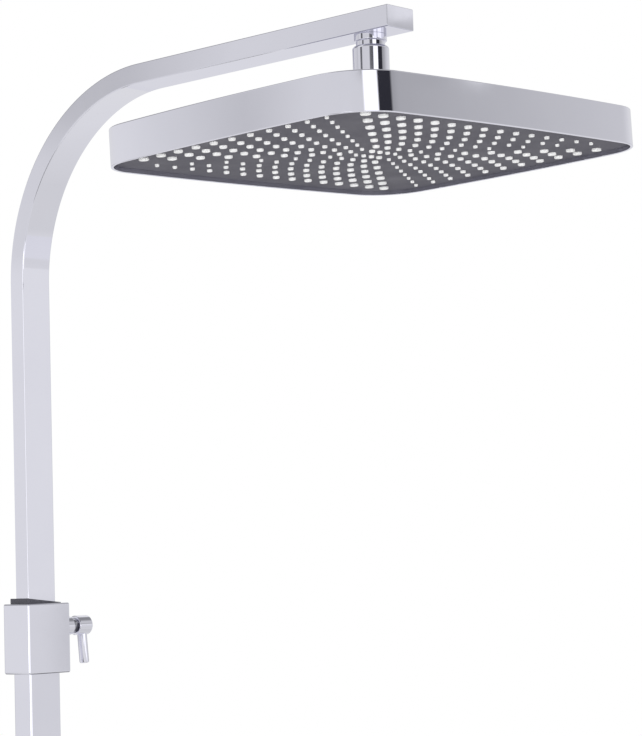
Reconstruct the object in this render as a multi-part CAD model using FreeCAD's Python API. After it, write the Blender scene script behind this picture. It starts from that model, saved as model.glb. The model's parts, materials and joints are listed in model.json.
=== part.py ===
import FreeCAD, Part
import math
import os

V = FreeCAD.Vector

# Driving dimensions, millimetres and degrees. X runs across, -Y away from the wall, +Z up.
# The origin lies in the wall, in the middle of the wall foot.

# Upper tube: a flat tube that rises, bends and becomes the arm
TUBE_W = 27.0
TUBE_D = 15.0
TUBE_WALL = 1.2
TUBE_EDGE = 0.9
BEND_R = 142.5
RISE = 397.4
REACH = 363.2
ARM_OVERHANG = 27.5
INSERT = 120.0
CAP_T = 2.0
CAP_PLUG = 8.0

# Lower tube, in which the upper one slides
SLIDE_GAP_W = 0.3
SLIDE_GAP_D = 1.15
LOWER_WALL = 1.2
LOWER_EDGE = 1.4
LOWER_TAIL = 137.0

# Clamp block at the mouth of the lower tube
CLAMP_W = 41.4
CLAMP_D = 30.0
CLAMP_FORWARD = 0.85
CLAMP_H = 53.7
CLAMP_EDGE = 1.2
CLAMP_SOCKET = 28.4
CLAMP_ABOVE_BRACKET = 148.9
BUSH_WALL_W = 3.0
BUSH_WALL_D = 3.3
BUSH_IN = 7.0
BUSH_OUT_HIGH = 4.2
BUSH_OUT_LOW = 0.4

# Clamp knob on the right-hand side of the block
KNOB_DROP = 18.4
SLEEVE_R = 7.3
SLEEVE_L = 12.8
SLEEVE_ROOT_R = 6.0
SLEEVE_ROOT = 2.5
SLEEVE_NOSE_R = 5.6
SLEEVE_NOSE = 8.4
SPINDLE_R = 4.0
SPINDLE_END_GAP = 3.0
KNOB_GAP = 5.0
KNOB_R = 7.6
KNOB_L = 13.2
LEVER_R = 3.8
LEVER_L = 29.6
LEVER_INSET = 5.4
LEVER_LEAN = 5.0
LEVER_ROOT = 2.0
PAD_L = 3.0
PAD_TRAVEL = 0.3

# Wall bracket
WALL_GAP = 60.0
FOOT_R = 31.0
FOOT_T = 6.0
FOOT_CHAMFER = 1.0
FOOT_HOLE_R = 2.75
FOOT_HOLE_SPACING = 44.0
POST_R = 10.0
POST_PIN_R = 6.0
POST_PIN_L = 4.0
COLLAR_WALL = 5.2
COLLAR_H = 24.0
GRUB_R = 2.5

# Inlet union under the lower tube
PLUG_L = 22.0
PLUG_FLANGE = 3.0
INLET_R = 9.0
INLET_BORE = 6.5
INLET_L = 16.0
INLET_ROOT_R = 8.0
INLET_ROOT = 12.0
INLET_FLANGE_T = 3.0
UNION_THREAD_R = 10.48
UNION_THREAD_L = 12.0
UNION_RELIEF = 0.5
UNION_LIP = 4.0
UNION_FLATS = 27.0
WASHER_T = 2.0
STRAINER_T = 1.2
STRAINER_HOLE_R = 0.7

# Piston at the foot of the upper tube
PISTON_PLUG = 14.0
PISTON_L = 18.0
PISTON_BORE = 4.0
SEAL_H = 2.4
SEAL_DEPTH = 1.6

# Outlet spigot and swivel under the arm
SPIGOT_R = 10.0
SPIGOT_COLLAR_R = 11.3
SPIGOT_COLLAR_H = 4.6
SPIGOT_GROOVE = 3.3
SPIGOT_IN_SWIVEL = 12.5
SPIGOT_BORE = 4.5
SPIGOT_ROOT_R = 5.7
SPIGOT_ROOT = 2.4
ORING_R = 1.2
CLIP_T = 1.1
CLIP_SEAT = 0.8
CLIP_STAND = 0.9
SWIVEL_R = 12.6
SWIVEL_H = 23.0
SWIVEL_ROUND = 2.0
SWIVEL_LIP = 8.7
SWIVEL_CHAMBER = 6.6
REGULATOR_T = 2.0
REGULATOR_BORE = 2.5

# Ball joint
BALL_R = 10.0
BALL_DROP = 15.2
STEM_R = 4.5
STEM_THREAD_R = 7.0
STEM_BORE = 3.0
LINER_T = 1.84
LINER_LOW = -38.0
LINER_HIGH = 34.0
BALL_SEAL_R = 0.82
BALL_SEAL_LATITUDE = -62.0
SOCKET_R = 16.5
SOCKET_ROOT_R = 14.0
SOCKET_FLOOR = 2.6
SOCKET_BORE = 4.0
NUT_H = 8.0
HUB_GASKET_T = 1.0
HUB_NUT_R = 19.0
HUB_NUT_H = 4.5

# Shower head: a shallow pan with bowed sides
HEAD_W = 307.0
HEAD_D = 252.5
HEAD_BOW = 5.0
HEAD_CORNER = 37.0
HEAD_H = 25.9
HEAD_WALL = 2.0
HEAD_BACK = 2.0
HEAD_CROWN = 5.0
HEAD_SHOULDER = 62.0
HEAD_BELOW_BALL = 12.5
FACE_RECESS = 3.2
FACE_T = 2.2
MAT_T = 1.5
BACKING_T = 2.5
GASKET_T = 1.0
GASKET_W = 6.0
SCREW_R = 1.5
SCREW_HEAD_R = 2.8
SCREW_HEAD_H = 1.6
SCREW_GRIP = 6.0
POST_WALL = 2.2

# The head hangs a little out of level on its ball
HEAD_LEAN_FRONT = -1.2
HEAD_LEAN_SIDE = -1.6

# Nozzles: four fans of straight rows that chase each other round the middle
NOZZLE_OUT = 1.6
NOZZLE_LARGE = 7.0
NOZZLE_SMALL = 2.8
NOZZLE_ROW_STEP = 0.45
NOZZLE_BORE = 0.45
FRONT_COUNTS = (15, 13, 11, 9, 7, 5)
FRONT_MARGIN = 25.6
FRONT_START_MARGIN = 32.1
FRONT_END_MARGIN = 44.8
FRONT_INNER = (21.9, 23.9, 21.8)
CORE_ROW = (7.6, 12.0, 11.5)
CORE_COUNT = 4
SIDE_COUNTS = (11, 10, 9, 8, 7, 6, 5, 3)
SIDE_MARGIN = 19.5
SIDE_START_MARGIN = 39.9
SIDE_END_MARGIN = 46.3
SIDE_INNER = (24.8, 10.45, 10.0)

# Clearances
FIT = 0.05
SLIP = 0.15
FREE = 0.3
BARE = 0.02

# Places worked out from the dimensions above
RISER_Y = -WALL_GAP
CLAMP_BOTTOM = CLAMP_ABOVE_BRACKET
CLAMP_TOP = CLAMP_BOTTOM + CLAMP_H
ARM_TOP = CLAMP_TOP + RISE
ARM_BOTTOM = ARM_TOP - TUBE_D
AXIS_Y = RISER_Y - REACH
ARM_END_Y = AXIS_Y - ARM_OVERHANG
BEND_CENTRE_Z = ARM_TOP - TUBE_D / 2 - BEND_R
BEND_CENTRE_Y = RISER_Y - BEND_R
TUBE_FOOT = CLAMP_TOP - INSERT
INNER_W = TUBE_W - 2 * TUBE_WALL
INNER_D = TUBE_D - 2 * TUBE_WALL
BORE_W = TUBE_W + 2 * SLIDE_GAP_W
BORE_D = TUBE_D + 2 * SLIDE_GAP_D
LOWER_W = BORE_W + 2 * LOWER_WALL
LOWER_D = BORE_D + 2 * LOWER_WALL
LOWER_TOP = CLAMP_BOTTOM + CLAMP_SOCKET
KNOB_Z = CLAMP_TOP - KNOB_DROP
SLEEVE_END = CLAMP_W / 2 + SLEEVE_L
KNOB_START = SLEEVE_END + KNOB_GAP
KNOB_END = KNOB_START + KNOB_L
PAD_FACE = TUBE_W / 2 + FIT
SPIGOT_NECK_TOP = ARM_BOTTOM - SPIGOT_COLLAR_H
SWIVEL_TOP = SPIGOT_NECK_TOP - SPIGOT_GROOVE
SWIVEL_BOTTOM = SWIVEL_TOP - SWIVEL_H
SPIGOT_END = SWIVEL_TOP - SPIGOT_IN_SWIVEL
CHAMBER_TOP = SWIVEL_TOP - SWIVEL_LIP
CHAMBER_BOTTOM = CHAMBER_TOP - SWIVEL_CHAMBER
CLIP_TOP = CHAMBER_TOP - FREE
CLIP_R = SPIGOT_R + CLIP_STAND
CHAMBER_R = CLIP_R + 2 * FREE
BALL_Z = SWIVEL_BOTTOM - BALL_DROP
BALL = V(0, AXIS_Y, BALL_Z)
LINER_IN = BALL_R + FIT
LINER_OUT = LINER_IN + LINER_T
SOCKET_IN = LINER_OUT + FIT

# Heights inside the head, measured from the ball's centre before the head leans
RIM_TOP = -HEAD_BELOW_BALL
CROWN_TOP = RIM_TOP + HEAD_CROWN
CROWN_UNDER = CROWN_TOP - HEAD_BACK
RIM_BOTTOM = RIM_TOP - HEAD_H
FACE = RIM_BOTTOM + FACE_RECESS
FACE_BACK = FACE + FACE_T
MAT_BACK = FACE_BACK + MAT_T
GASKET_TOP = MAT_BACK + GASKET_T
BACKING_TOP = GASKET_TOP + BACKING_T
SOCKET_SEAT = CROWN_TOP + HUB_GASKET_T
SOCKET_FOOT = -(SOCKET_IN + SOCKET_FLOOR)
PLATE_INSET = HEAD_WALL + SLIP


def block(width, depth, low, high, x=0.0, y=RISER_Y):
    """Plain box centred on x, y between two heights."""
    return Part.makeBox(width, depth, high - low, V(x - width / 2, y - depth / 2, low))


def bar(width, depth, low, high, edge, y=RISER_Y):
    """Upright bar of rounded rectangular section on the riser's axis."""
    solid = block(width, depth, low, high, 0.0, y)
    upright = [e for e in solid.Edges if abs(e.tangentAt(e.FirstParameter).z) > 0.9]
    return solid.makeFillet(edge, upright)


def rod(radius, low, high, x=0.0, y=0.0):
    """Upright cylinder between two heights."""
    return Part.makeCylinder(radius, high - low, V(x, y, low))


def cross_rod(radius, start, end):
    """Cylinder along X on the knob's axis."""
    return Part.makeCylinder(radius, end - start, V(start, RISER_Y, KNOB_Z), V(1, 0, 0))


def back_rod(radius, start, end, x=0.0, z=0.0):
    """Cylinder along Y between two depths."""
    return Part.makeCylinder(radius, end - start, V(x, start, z), V(0, 1, 0))


def turned(points):
    """Solid of revolution about Z from points of radius and height."""
    corners = [V(r, 0, z) for r, z in points]
    face = Part.Face(Part.makePolygon(corners + corners[:1]))
    return face.revolve(V(0, 0, 0), V(0, 0, 1), 360)


def moved(solid, x, y, z):
    """Copy of a solid, shifted."""
    copy = solid.copy()
    copy.translate(V(x, y, z))
    return copy


def on_axis(solid):
    """Copy of a solid built about Z, shifted to the arm's outlet axis."""
    return moved(solid, 0, AXIS_Y, 0)


def leaned(solid):
    """Copy of a solid built about the ball's centre, leaned with the head and put in place."""
    copy = solid.copy()
    copy.rotate(V(0, 0, 0), V(0, 1, 0), HEAD_LEAN_SIDE)
    copy.rotate(V(0, 0, 0), V(1, 0, 0), HEAD_LEAN_FRONT)
    copy.translate(BALL)
    return copy


def tube_run(width, depth, edge, foot, end_y):
    """Bar that rises from foot, bends forward at the top and ends at end_y."""
    upright = bar(width, depth, foot, BEND_CENTRE_Z, edge)
    top = max(upright.Faces, key=lambda f: f.CenterOfMass.z)
    bend = top.revolve(V(0, BEND_CENTRE_Y, BEND_CENTRE_Z), V(1, 0, 0), 90)
    front = min(bend.Faces, key=lambda f: f.CenterOfMass.y)
    arm = front.extrude(V(0, end_y - BEND_CENTRE_Y, 0))
    return upright.fuse([bend, arm]).removeSplitter()


# Upper tube and arm
def arm_tube():
    outer = tube_run(TUBE_W, TUBE_D, TUBE_EDGE, TUBE_FOOT, ARM_END_Y + CAP_T)
    inner = tube_run(INNER_W, INNER_D, TUBE_EDGE, TUBE_FOOT, ARM_END_Y + CAP_T)
    outlet = rod(SPIGOT_ROOT_R + FIT, ARM_BOTTOM, ARM_BOTTOM + 2 * TUBE_WALL, 0, AXIS_Y)
    return outer.cut(inner).cut(outlet)


def arm_bar(width, height, start, end):
    """Level bar of rounded rectangular section along the arm's axis."""
    solid = Part.makeBox(width, end - start, height, V(-width / 2, start, ARM_TOP - (TUBE_D + height) / 2))
    along = [e for e in solid.Edges if abs(e.tangentAt(e.FirstParameter).y) > 0.9]
    return solid.makeFillet(TUBE_EDGE, along)


def arm_end_cap():
    seam = ARM_END_Y + CAP_T
    face = arm_bar(TUBE_W, TUBE_D, ARM_END_Y, seam)
    plug = arm_bar(INNER_W - 2 * SLIP, INNER_D - 2 * SLIP, seam, seam + CAP_PLUG)
    return face.fuse(plug)


def outlet_spigot():
    root_top = ARM_BOTTOM + TUBE_WALL + SPIGOT_ROOT
    clip_bottom = CLIP_TOP - CLIP_T
    body = turned([
        (SPIGOT_BORE, root_top),
        (SPIGOT_ROOT_R, root_top),
        (SPIGOT_ROOT_R, ARM_BOTTOM),
        (SPIGOT_COLLAR_R, ARM_BOTTOM),
        (SPIGOT_COLLAR_R, SPIGOT_NECK_TOP),
        (SPIGOT_R, SPIGOT_NECK_TOP),
        (SPIGOT_R, CLIP_TOP),
        (SPIGOT_R - CLIP_SEAT, CLIP_TOP),
        (SPIGOT_R - CLIP_SEAT, clip_bottom),
        (SPIGOT_R, clip_bottom),
        (SPIGOT_R, SPIGOT_END),
        (SPIGOT_BORE, SPIGOT_END),
    ])
    groove_inner = SPIGOT_R - 2 * ORING_R - FIT
    middle = oring_height()
    groove = rod(SPIGOT_R + FREE, middle - ORING_R - FIT, middle + ORING_R + FIT)
    groove = groove.cut(rod(groove_inner, middle - 2 * ORING_R, middle + 2 * ORING_R))
    return on_axis(body.cut(groove))


def oring_height():
    """Height of the sealing ring, halfway down the swivel's lip."""
    return SWIVEL_TOP - SWIVEL_LIP / 2


def spigot_o_ring():
    ring = Part.makeTorus(SPIGOT_R - ORING_R, ORING_R - BARE, V(0, 0, oring_height()))
    return on_axis(ring)


def spigot_clip():
    seat = SPIGOT_R - CLIP_SEAT + FIT
    bottom = CLIP_TOP - CLIP_T
    ring = rod(CLIP_R, bottom, CLIP_TOP).cut(rod(seat, bottom, CLIP_TOP))
    mouth = Part.makeBox(2 * CLIP_R, SPIGOT_R / 2, CLIP_T, V(0, -SPIGOT_R / 4, bottom))
    return on_axis(ring.cut(mouth))


def piston():
    plug = bar(INNER_W - 2 * SLIP, INNER_D - 2 * SLIP, TUBE_FOOT, TUBE_FOOT + PISTON_PLUG, TUBE_EDGE)
    skirt = block(BORE_W - 2 * SLIP, BORE_D - 2 * SLIP, TUBE_FOOT - PISTON_L, TUBE_FOOT)
    body = plug.fuse(skirt)
    for middle in seal_heights():
        low = middle - SEAL_H / 2
        high = middle + SEAL_H / 2
        groove = block(BORE_W, BORE_D, low, high)
        root = block(BORE_W - 2 * SLIP - 2 * SEAL_DEPTH, BORE_D - 2 * SLIP - 2 * SEAL_DEPTH, low, high)
        body = body.cut(groove.cut(root))
    bore = rod(PISTON_BORE, TUBE_FOOT - PISTON_L, TUBE_FOOT + PISTON_PLUG, 0, RISER_Y)
    return body.cut(bore)


def seal_heights():
    """Middles of the two piston seals, at a third and two thirds of the skirt."""
    return [TUBE_FOOT - PISTON_L / 3, TUBE_FOOT - 2 * PISTON_L / 3]


def piston_seal(middle):
    low = middle - SEAL_H / 2 + FIT
    high = middle + SEAL_H / 2 - FIT
    outer = block(BORE_W - 2 * FIT, BORE_D - 2 * FIT, low, high)
    width = BORE_W - 2 * SLIP - 2 * SEAL_DEPTH + 2 * FIT
    depth = BORE_D - 2 * SLIP - 2 * SEAL_DEPTH + 2 * FIT
    return outer.cut(block(width, depth, low, high))


# Lower tube, clamp block and bushes
def lower_tube():
    outer = bar(LOWER_W, LOWER_D, -LOWER_TAIL, LOWER_TOP, LOWER_EDGE)
    return outer.cut(block(BORE_W, BORE_D, -LOWER_TAIL, LOWER_TOP))


def clamp_block():
    body = block(CLAMP_W, CLAMP_D, CLAMP_BOTTOM, CLAMP_TOP, 0.0, RISER_Y - CLAMP_FORWARD)
    body = body.makeFillet(CLAMP_EDGE, body.Edges)
    socket = bar(LOWER_W + 2 * FIT, LOWER_D + 2 * FIT, CLAMP_BOTTOM, LOWER_TOP, LOWER_EDGE)
    throat = block(BORE_W, BORE_D, LOWER_TOP, CLAMP_TOP)
    seat = bar(bush_width() + 2 * FIT, bush_depth() + 2 * FIT, CLAMP_TOP - BUSH_IN, CLAMP_TOP, CLAMP_EDGE)
    hole = cross_rod(SPINDLE_R + FIT, TUBE_W / 2, CLAMP_W / 2)
    recess = cross_rod(SLEEVE_ROOT_R + FIT, CLAMP_W / 2 - SLEEVE_ROOT, CLAMP_W / 2)
    return body.cut([socket, throat, seat, hole, recess])


def bush_width():
    """Outside width of the top bush."""
    return TUBE_W + 2 * SLIP + 2 * BUSH_WALL_W


def bush_depth():
    """Outside depth of the top bush."""
    return TUBE_D + 2 * SLIP + 2 * BUSH_WALL_D


def top_bush():
    """Bush in the block's mouth, its top sloping down towards the knob."""
    low = CLAMP_TOP - BUSH_IN
    high = CLAMP_TOP + BUSH_OUT_HIGH
    end = CLAMP_TOP + BUSH_OUT_LOW
    half = bush_width() / 2
    front = RISER_Y - bush_depth() / 2
    side = [V(-half, front, low), V(half, front, low), V(half, front, end), V(-half, front, high)]
    wedge = Part.Face(Part.makePolygon(side + side[:1])).extrude(V(0, bush_depth(), 0))
    outer = bar(bush_width(), bush_depth(), low, high, CLAMP_EDGE).common(wedge)
    return outer.cut(bar(TUBE_W + 2 * SLIP, TUBE_D + 2 * SLIP, low, high, TUBE_EDGE))


# Clamp knob
def clamp_sleeve():
    face = CLAMP_W / 2
    body = cross_rod(SLEEVE_ROOT_R, face - SLEEVE_ROOT, face)
    body = body.fuse(cross_rod(SLEEVE_R, face, SLEEVE_END))
    body = body.fuse(cross_rod(SLEEVE_NOSE_R, SLEEVE_END, SLEEVE_END + SLEEVE_NOSE))
    return body.cut(cross_rod(SPINDLE_R + FIT, face - SLEEVE_ROOT, SLEEVE_END + SLEEVE_NOSE))


def knob():
    body = cross_rod(KNOB_R, KNOB_START, KNOB_END)
    body = body.cut(cross_rod(SLEEVE_NOSE_R + FIT, KNOB_START, SLEEVE_END + SLEEVE_NOSE + FREE))
    body = body.cut(cross_rod(SPINDLE_R + FIT, KNOB_START, KNOB_END - SPINDLE_END_GAP))
    return body.cut(lever_rod(LEVER_R + FIT))


def lever_rod(radius):
    """Rod that hangs from the knob's rim, leaning a little outward."""
    lean = math.radians(LEVER_LEAN)
    way = V(math.sin(lean), 0, -math.cos(lean))
    top = V(KNOB_END - LEVER_INSET, RISER_Y, KNOB_Z - KNOB_R + LEVER_ROOT)
    return Part.makeCylinder(radius, LEVER_L - KNOB_R + LEVER_ROOT, top, way)


def clamp_spindle():
    return cross_rod(SPINDLE_R, PAD_FACE + PAD_L, KNOB_END - SPINDLE_END_GAP - PAD_TRAVEL - FREE)


def clamp_pad():
    return cross_rod(SPINDLE_R, PAD_FACE, PAD_FACE + PAD_L)


# Wall bracket
def collar_back():
    """Depth of the bracket collar's back face."""
    return RISER_Y + LOWER_D / 2 + COLLAR_WALL


def wall_foot():
    disc = back_rod(FOOT_R, -FOOT_T, 0)
    disc = disc.makeChamfer(FOOT_CHAMFER, [disc.Edges[i] for i in front_rims(disc)])
    holes = [back_rod(POST_PIN_R + FIT, -FOOT_T, -FOOT_T + POST_PIN_L + FIT)]
    for side in (-1, 1):
        holes.append(back_rod(FOOT_HOLE_R, -FOOT_T, 0, side * FOOT_HOLE_SPACING / 2))
    return disc.cut(holes)


def front_rims(disc):
    """Indices of the circular edges on the foot's front face."""
    return [i for i, e in enumerate(disc.Edges) if e.BoundBox.YMax < -FOOT_T + BARE]


def wall_post():
    body = back_rod(POST_R, collar_back(), -FOOT_T)
    body = body.fuse(back_rod(POST_PIN_R, collar_back() - POST_PIN_L, collar_back()))
    return body.fuse(back_rod(POST_PIN_R, -FOOT_T, -FOOT_T + POST_PIN_L)).removeSplitter()


def bracket_collar():
    width = LOWER_W + 2 * COLLAR_WALL
    depth = LOWER_D + 2 * COLLAR_WALL
    body = block(width, depth, -COLLAR_H / 2, COLLAR_H / 2)
    body = body.makeFillet(CLAMP_EDGE, body.Edges)
    bore = bar(LOWER_W + 2 * FIT, LOWER_D + 2 * FIT, -COLLAR_H / 2, COLLAR_H / 2, LOWER_EDGE)
    pin = back_rod(POST_PIN_R + FIT, collar_back() - POST_PIN_L - FIT, collar_back())
    grub = Part.makeCylinder(GRUB_R + FIT, COLLAR_WALL + 2 * FIT, V(-width / 2, RISER_Y, 0), V(1, 0, 0))
    return body.cut([bore, pin, grub])


def bracket_grub():
    start = -LOWER_W / 2 - COLLAR_WALL
    return Part.makeCylinder(GRUB_R, COLLAR_WALL - FIT, V(start, RISER_Y, 0), V(1, 0, 0))


# Inlet union
def plug_bottom():
    """Height of the plug flange's lower face."""
    return -LOWER_TAIL - PLUG_FLANGE


def flange_bottom():
    """Height of the inlet flange's lower face."""
    return plug_bottom() - INLET_L


def tube_plug():
    flange = bar(LOWER_W, LOWER_D, plug_bottom(), -LOWER_TAIL, LOWER_EDGE)
    plug = block(BORE_W - 2 * SLIP, BORE_D - 2 * SLIP, -LOWER_TAIL, -LOWER_TAIL + PLUG_L)
    body = flange.fuse(plug)
    thread = rod(INLET_ROOT_R + FIT, plug_bottom(), plug_bottom() + INLET_ROOT + FIT, 0, RISER_Y)
    return body.cut([thread, rod(INLET_BORE, plug_bottom(), -LOWER_TAIL + PLUG_L, 0, RISER_Y)])


def inlet_spigot():
    flange_r = UNION_THREAD_R - FREE
    bottom = flange_bottom()
    screen = bottom + STRAINER_T + FIT
    body = turned([
        (INLET_BORE, plug_bottom() + INLET_ROOT),
        (INLET_ROOT_R, plug_bottom() + INLET_ROOT),
        (INLET_ROOT_R, plug_bottom()),
        (INLET_R, plug_bottom()),
        (INLET_R, bottom + INLET_FLANGE_T),
        (flange_r, bottom + INLET_FLANGE_T),
        (flange_r, bottom),
        (strainer_radius() + FIT, bottom),
        (strainer_radius() + FIT, screen),
        (INLET_BORE, screen),
    ])
    return moved(body, 0, RISER_Y, 0)


def strainer_radius():
    """Radius of the strainer, which seats in the mouth of the inlet."""
    return (INLET_BORE + UNION_THREAD_R) / 2 - FREE


def inlet_strainer():
    bottom = flange_bottom()
    disc = rod(strainer_radius(), bottom, bottom + STRAINER_T, 0, RISER_Y)
    holes = [rod(STRAINER_HOLE_R, bottom, bottom + STRAINER_T, 0, RISER_Y)]
    for ring in (1, 2):
        radius = ring * INLET_BORE / 3
        for turn in range(6 * ring):
            angle = math.radians(60 * turn / ring)
            x = radius * math.cos(angle)
            y = RISER_Y + radius * math.sin(angle)
            holes.append(rod(STRAINER_HOLE_R, bottom, bottom + STRAINER_T, x, y))
    return disc.cut(holes)


def union_washer():
    top = flange_bottom()
    ring = rod(UNION_THREAD_R - FREE, top - WASHER_T, top)
    return moved(ring.cut(rod(INLET_BORE, top - WASHER_T, top)), 0, RISER_Y, 0)


def union_nut():
    shoulder = flange_bottom() + INLET_FLANGE_T + FREE
    top = shoulder + UNION_LIP
    bottom = flange_bottom() - WASHER_T - UNION_THREAD_L
    corner = UNION_FLATS / math.sqrt(3)
    points = []
    for turn in range(7):
        angle = math.radians(60 * turn)
        points.append(V(corner * math.cos(angle), corner * math.sin(angle), bottom))
    hexagon = Part.Face(Part.makePolygon(points)).extrude(V(0, 0, top - bottom))
    passage = rod(INLET_R + FREE, bottom, top)
    thread = rod(UNION_THREAD_R, bottom, flange_bottom() - WASHER_T)
    relief = rod(UNION_THREAD_R + UNION_RELIEF, flange_bottom() - WASHER_T, shoulder)
    body = hexagon.cut([passage, thread, relief])
    return moved(body, 0, RISER_Y, 0)


# Swivel and ball joint
def swivel_body():
    outer = rod(SWIVEL_R, SWIVEL_BOTTOM, SWIVEL_TOP)
    rims = [e for e in outer.Edges if e.BoundBox.ZMin > SWIVEL_TOP - BARE]
    outer = outer.makeFillet(SWIVEL_ROUND, rims)
    lip = rod(SPIGOT_R + FIT, CHAMBER_TOP, SWIVEL_TOP)
    chamber = rod(CHAMBER_R, CHAMBER_BOTTOM, CHAMBER_TOP)
    thread = rod(STEM_THREAD_R + FIT, SWIVEL_BOTTOM, CHAMBER_BOTTOM)
    return on_axis(outer.cut([lip, chamber, thread]))


def flow_regulator():
    top = CHAMBER_BOTTOM + REGULATOR_T
    disc = rod(CHAMBER_R - FIT, CHAMBER_BOTTOM, top).cut(rod(REGULATOR_BORE, CHAMBER_BOTTOM, top))
    return on_axis(disc)


def ball_stem():
    body = rod(STEM_THREAD_R, SWIVEL_BOTTOM, CHAMBER_BOTTOM)
    body = body.fuse(rod(STEM_R, BALL_Z, SWIVEL_BOTTOM))
    body = body.fuse(Part.makeSphere(BALL_R, V(0, 0, BALL_Z))).removeSplitter()
    return on_axis(body.cut(rod(STEM_BORE, BALL_Z - BALL_R, CHAMBER_BOTTOM)))


def ball_liner():
    shell = Part.makeSphere(LINER_OUT, V(0, 0, 0), V(0, 0, 1), LINER_LOW, LINER_HIGH, 360)
    return moved(shell.cut(Part.makeSphere(LINER_IN)), 0, AXIS_Y, BALL_Z)


def socket_cup():
    flange = rod(SOCKET_R, SOCKET_SEAT, 0)
    root = rod(SOCKET_ROOT_R, SOCKET_FOOT, SOCKET_SEAT)
    body = flange.fuse(root)
    body = body.cut([Part.makeSphere(SOCKET_IN), rod(SOCKET_BORE, SOCKET_FOOT, 0)])
    return leaned(body)


def socket_nut():
    body = rod(SOCKET_R, 0, NUT_H).cut(Part.makeSphere(SOCKET_IN))
    return leaned(body)


def ball_seal():
    latitude = math.radians(BALL_SEAL_LATITUDE)
    middle = (BALL_R + SOCKET_IN) / 2
    centre = V(0, 0, middle * math.sin(latitude))
    return leaned(Part.makeTorus(middle * math.cos(latitude), BALL_SEAL_R, centre))


def hub_gasket():
    ring = rod(SOCKET_R, CROWN_TOP, SOCKET_SEAT)
    return leaned(ring.cut(rod(SOCKET_ROOT_R + FIT, CROWN_TOP, SOCKET_SEAT)))


def hub_nut():
    low = CROWN_UNDER - HUB_NUT_H
    return leaned(rod(HUB_NUT_R, low, CROWN_UNDER).cut(rod(SOCKET_ROOT_R + FIT, low, CROWN_UNDER)))


# Shower head
def side_arc(half, other):
    """Radius and middle, along its own axis, of the bowed side that lies at other and is 2 * half long."""
    radius = (half ** 2 + HEAD_BOW ** 2) / (2 * HEAD_BOW)
    return radius, other + HEAD_BOW - radius


def bow_corner(inset):
    """Corner where two neighbouring bowed sides meet, both drawn in by inset."""
    half_x = HEAD_W / 2 - HEAD_BOW
    half_y = HEAD_D / 2 - HEAD_BOW
    long_r, long_y = side_arc(half_x, half_y)
    short_r, short_x = side_arc(half_y, half_x)
    long_r -= inset
    short_r -= inset
    apart = math.hypot(short_x, long_y)
    along = (long_r ** 2 - short_r ** 2 + apart ** 2) / (2 * apart)
    aside = math.sqrt(long_r ** 2 - along ** 2)
    way_x = short_x / apart
    way_y = -long_y / apart
    return along * way_x + aside * way_y, long_y + along * way_y - aside * way_x


def head_outline(inset, height):
    """Face of the head's outline at a height: four bowed sides with round corners, drawn in by inset."""
    x, y = bow_corner(inset)
    crown_x = HEAD_W / 2 - inset
    crown_y = HEAD_D / 2 - inset
    corners = [V(x, y, 0), V(-x, y, 0), V(-x, -y, 0), V(x, -y, 0)]
    crowns = [V(0, crown_y, 0), V(-crown_x, 0, 0), V(0, -crown_y, 0), V(crown_x, 0, 0)]
    sides = []
    for i in range(4):
        sides.append(Part.Arc(corners[i], crowns[i], corners[(i + 1) % 4]).toShape())
    prism = Part.Face(Part.Wire(sides)).extrude(V(0, 0, 1))
    upright = [e for e in prism.Edges if abs(e.tangentAt(e.FirstParameter).z) > 0.9]
    prism = prism.makeFillet(max(HEAD_CORNER - inset, HEAD_CORNER / 4), upright)
    wire = min(prism.Faces, key=lambda f: f.CenterOfMass.z).OuterWire
    return moved(Part.Face(wire), 0, 0, height)


def head_slab(inset, low, high):
    """Slab of the head's outline between two heights."""
    return head_outline(inset, low).extrude(V(0, 0, high - low))


def head_pan(inset, low, shoulder, top):
    """Solid of the head's outline with a crowned back, upright to the shoulder and then sloping in."""
    walls = head_slab(inset, low, shoulder)
    edge = head_outline(inset, shoulder).OuterWire
    plateau = head_outline(inset + HEAD_SHOULDER, top).OuterWire
    crown = Part.makeLoft([edge, plateau], True, True)
    return walls.fuse(crown).removeSplitter()


def head_shell():
    outer = head_pan(0, RIM_BOTTOM, RIM_TOP, CROWN_TOP)
    inner = head_pan(HEAD_WALL, RIM_BOTTOM, RIM_TOP - HEAD_BACK, CROWN_UNDER)
    body = outer.cut(inner)
    posts = []
    for x, y in screw_places():
        post = rod(SCREW_R + POST_WALL, BACKING_TOP, CROWN_TOP - HEAD_BACK / 2, x, y)
        posts.append(post.common(outer))
    body = body.fuse(posts)
    holes = [rod(SOCKET_ROOT_R + FIT, CROWN_UNDER - HUB_NUT_H, CROWN_TOP)]
    for x, y in screw_places():
        holes.append(rod(SCREW_R + FIT, BACKING_TOP, BACKING_TOP + SCREW_GRIP + FREE, x, y))
    return leaned(body.cut(holes).removeSplitter())


def screw_places():
    """Places of the screws that hold the backing plate, between the nozzle rows."""
    rows = front_rows()
    columns = side_rows()
    x = (columns[1][0] + columns[2][0]) / 2
    y = (rows[1][0] + rows[2][0]) / 2
    return [(x / 2, y), (-x / 2, y), (x / 2, -y), (-x / 2, -y), (x, 0), (-x, 0)]


def nozzle_row(across, start, end, count, large):
    """One row of the front fan: places and diameters from the large end to the small one."""
    row = []
    for i in range(count):
        share = i / (count - 1)
        along = -start + share * (start + end)
        row.append((along, -across, large + share * (NOZZLE_SMALL - large)))
    return row


def fan_rows(outer, inner, steps):
    """Distance across, start and end of each row, stepped evenly from the outer row to the inner one."""
    rows = []
    for n in range(steps):
        share = n / (steps - 1)
        rows.append([a + share * (b - a) for a, b in zip(outer, inner)])
    return rows


def front_rows():
    outer = (HEAD_D / 2 - FRONT_MARGIN, HEAD_W / 2 - FRONT_START_MARGIN, HEAD_W / 2 - FRONT_END_MARGIN)
    return fan_rows(outer, FRONT_INNER, len(FRONT_COUNTS)) + [list(CORE_ROW)]


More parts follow.
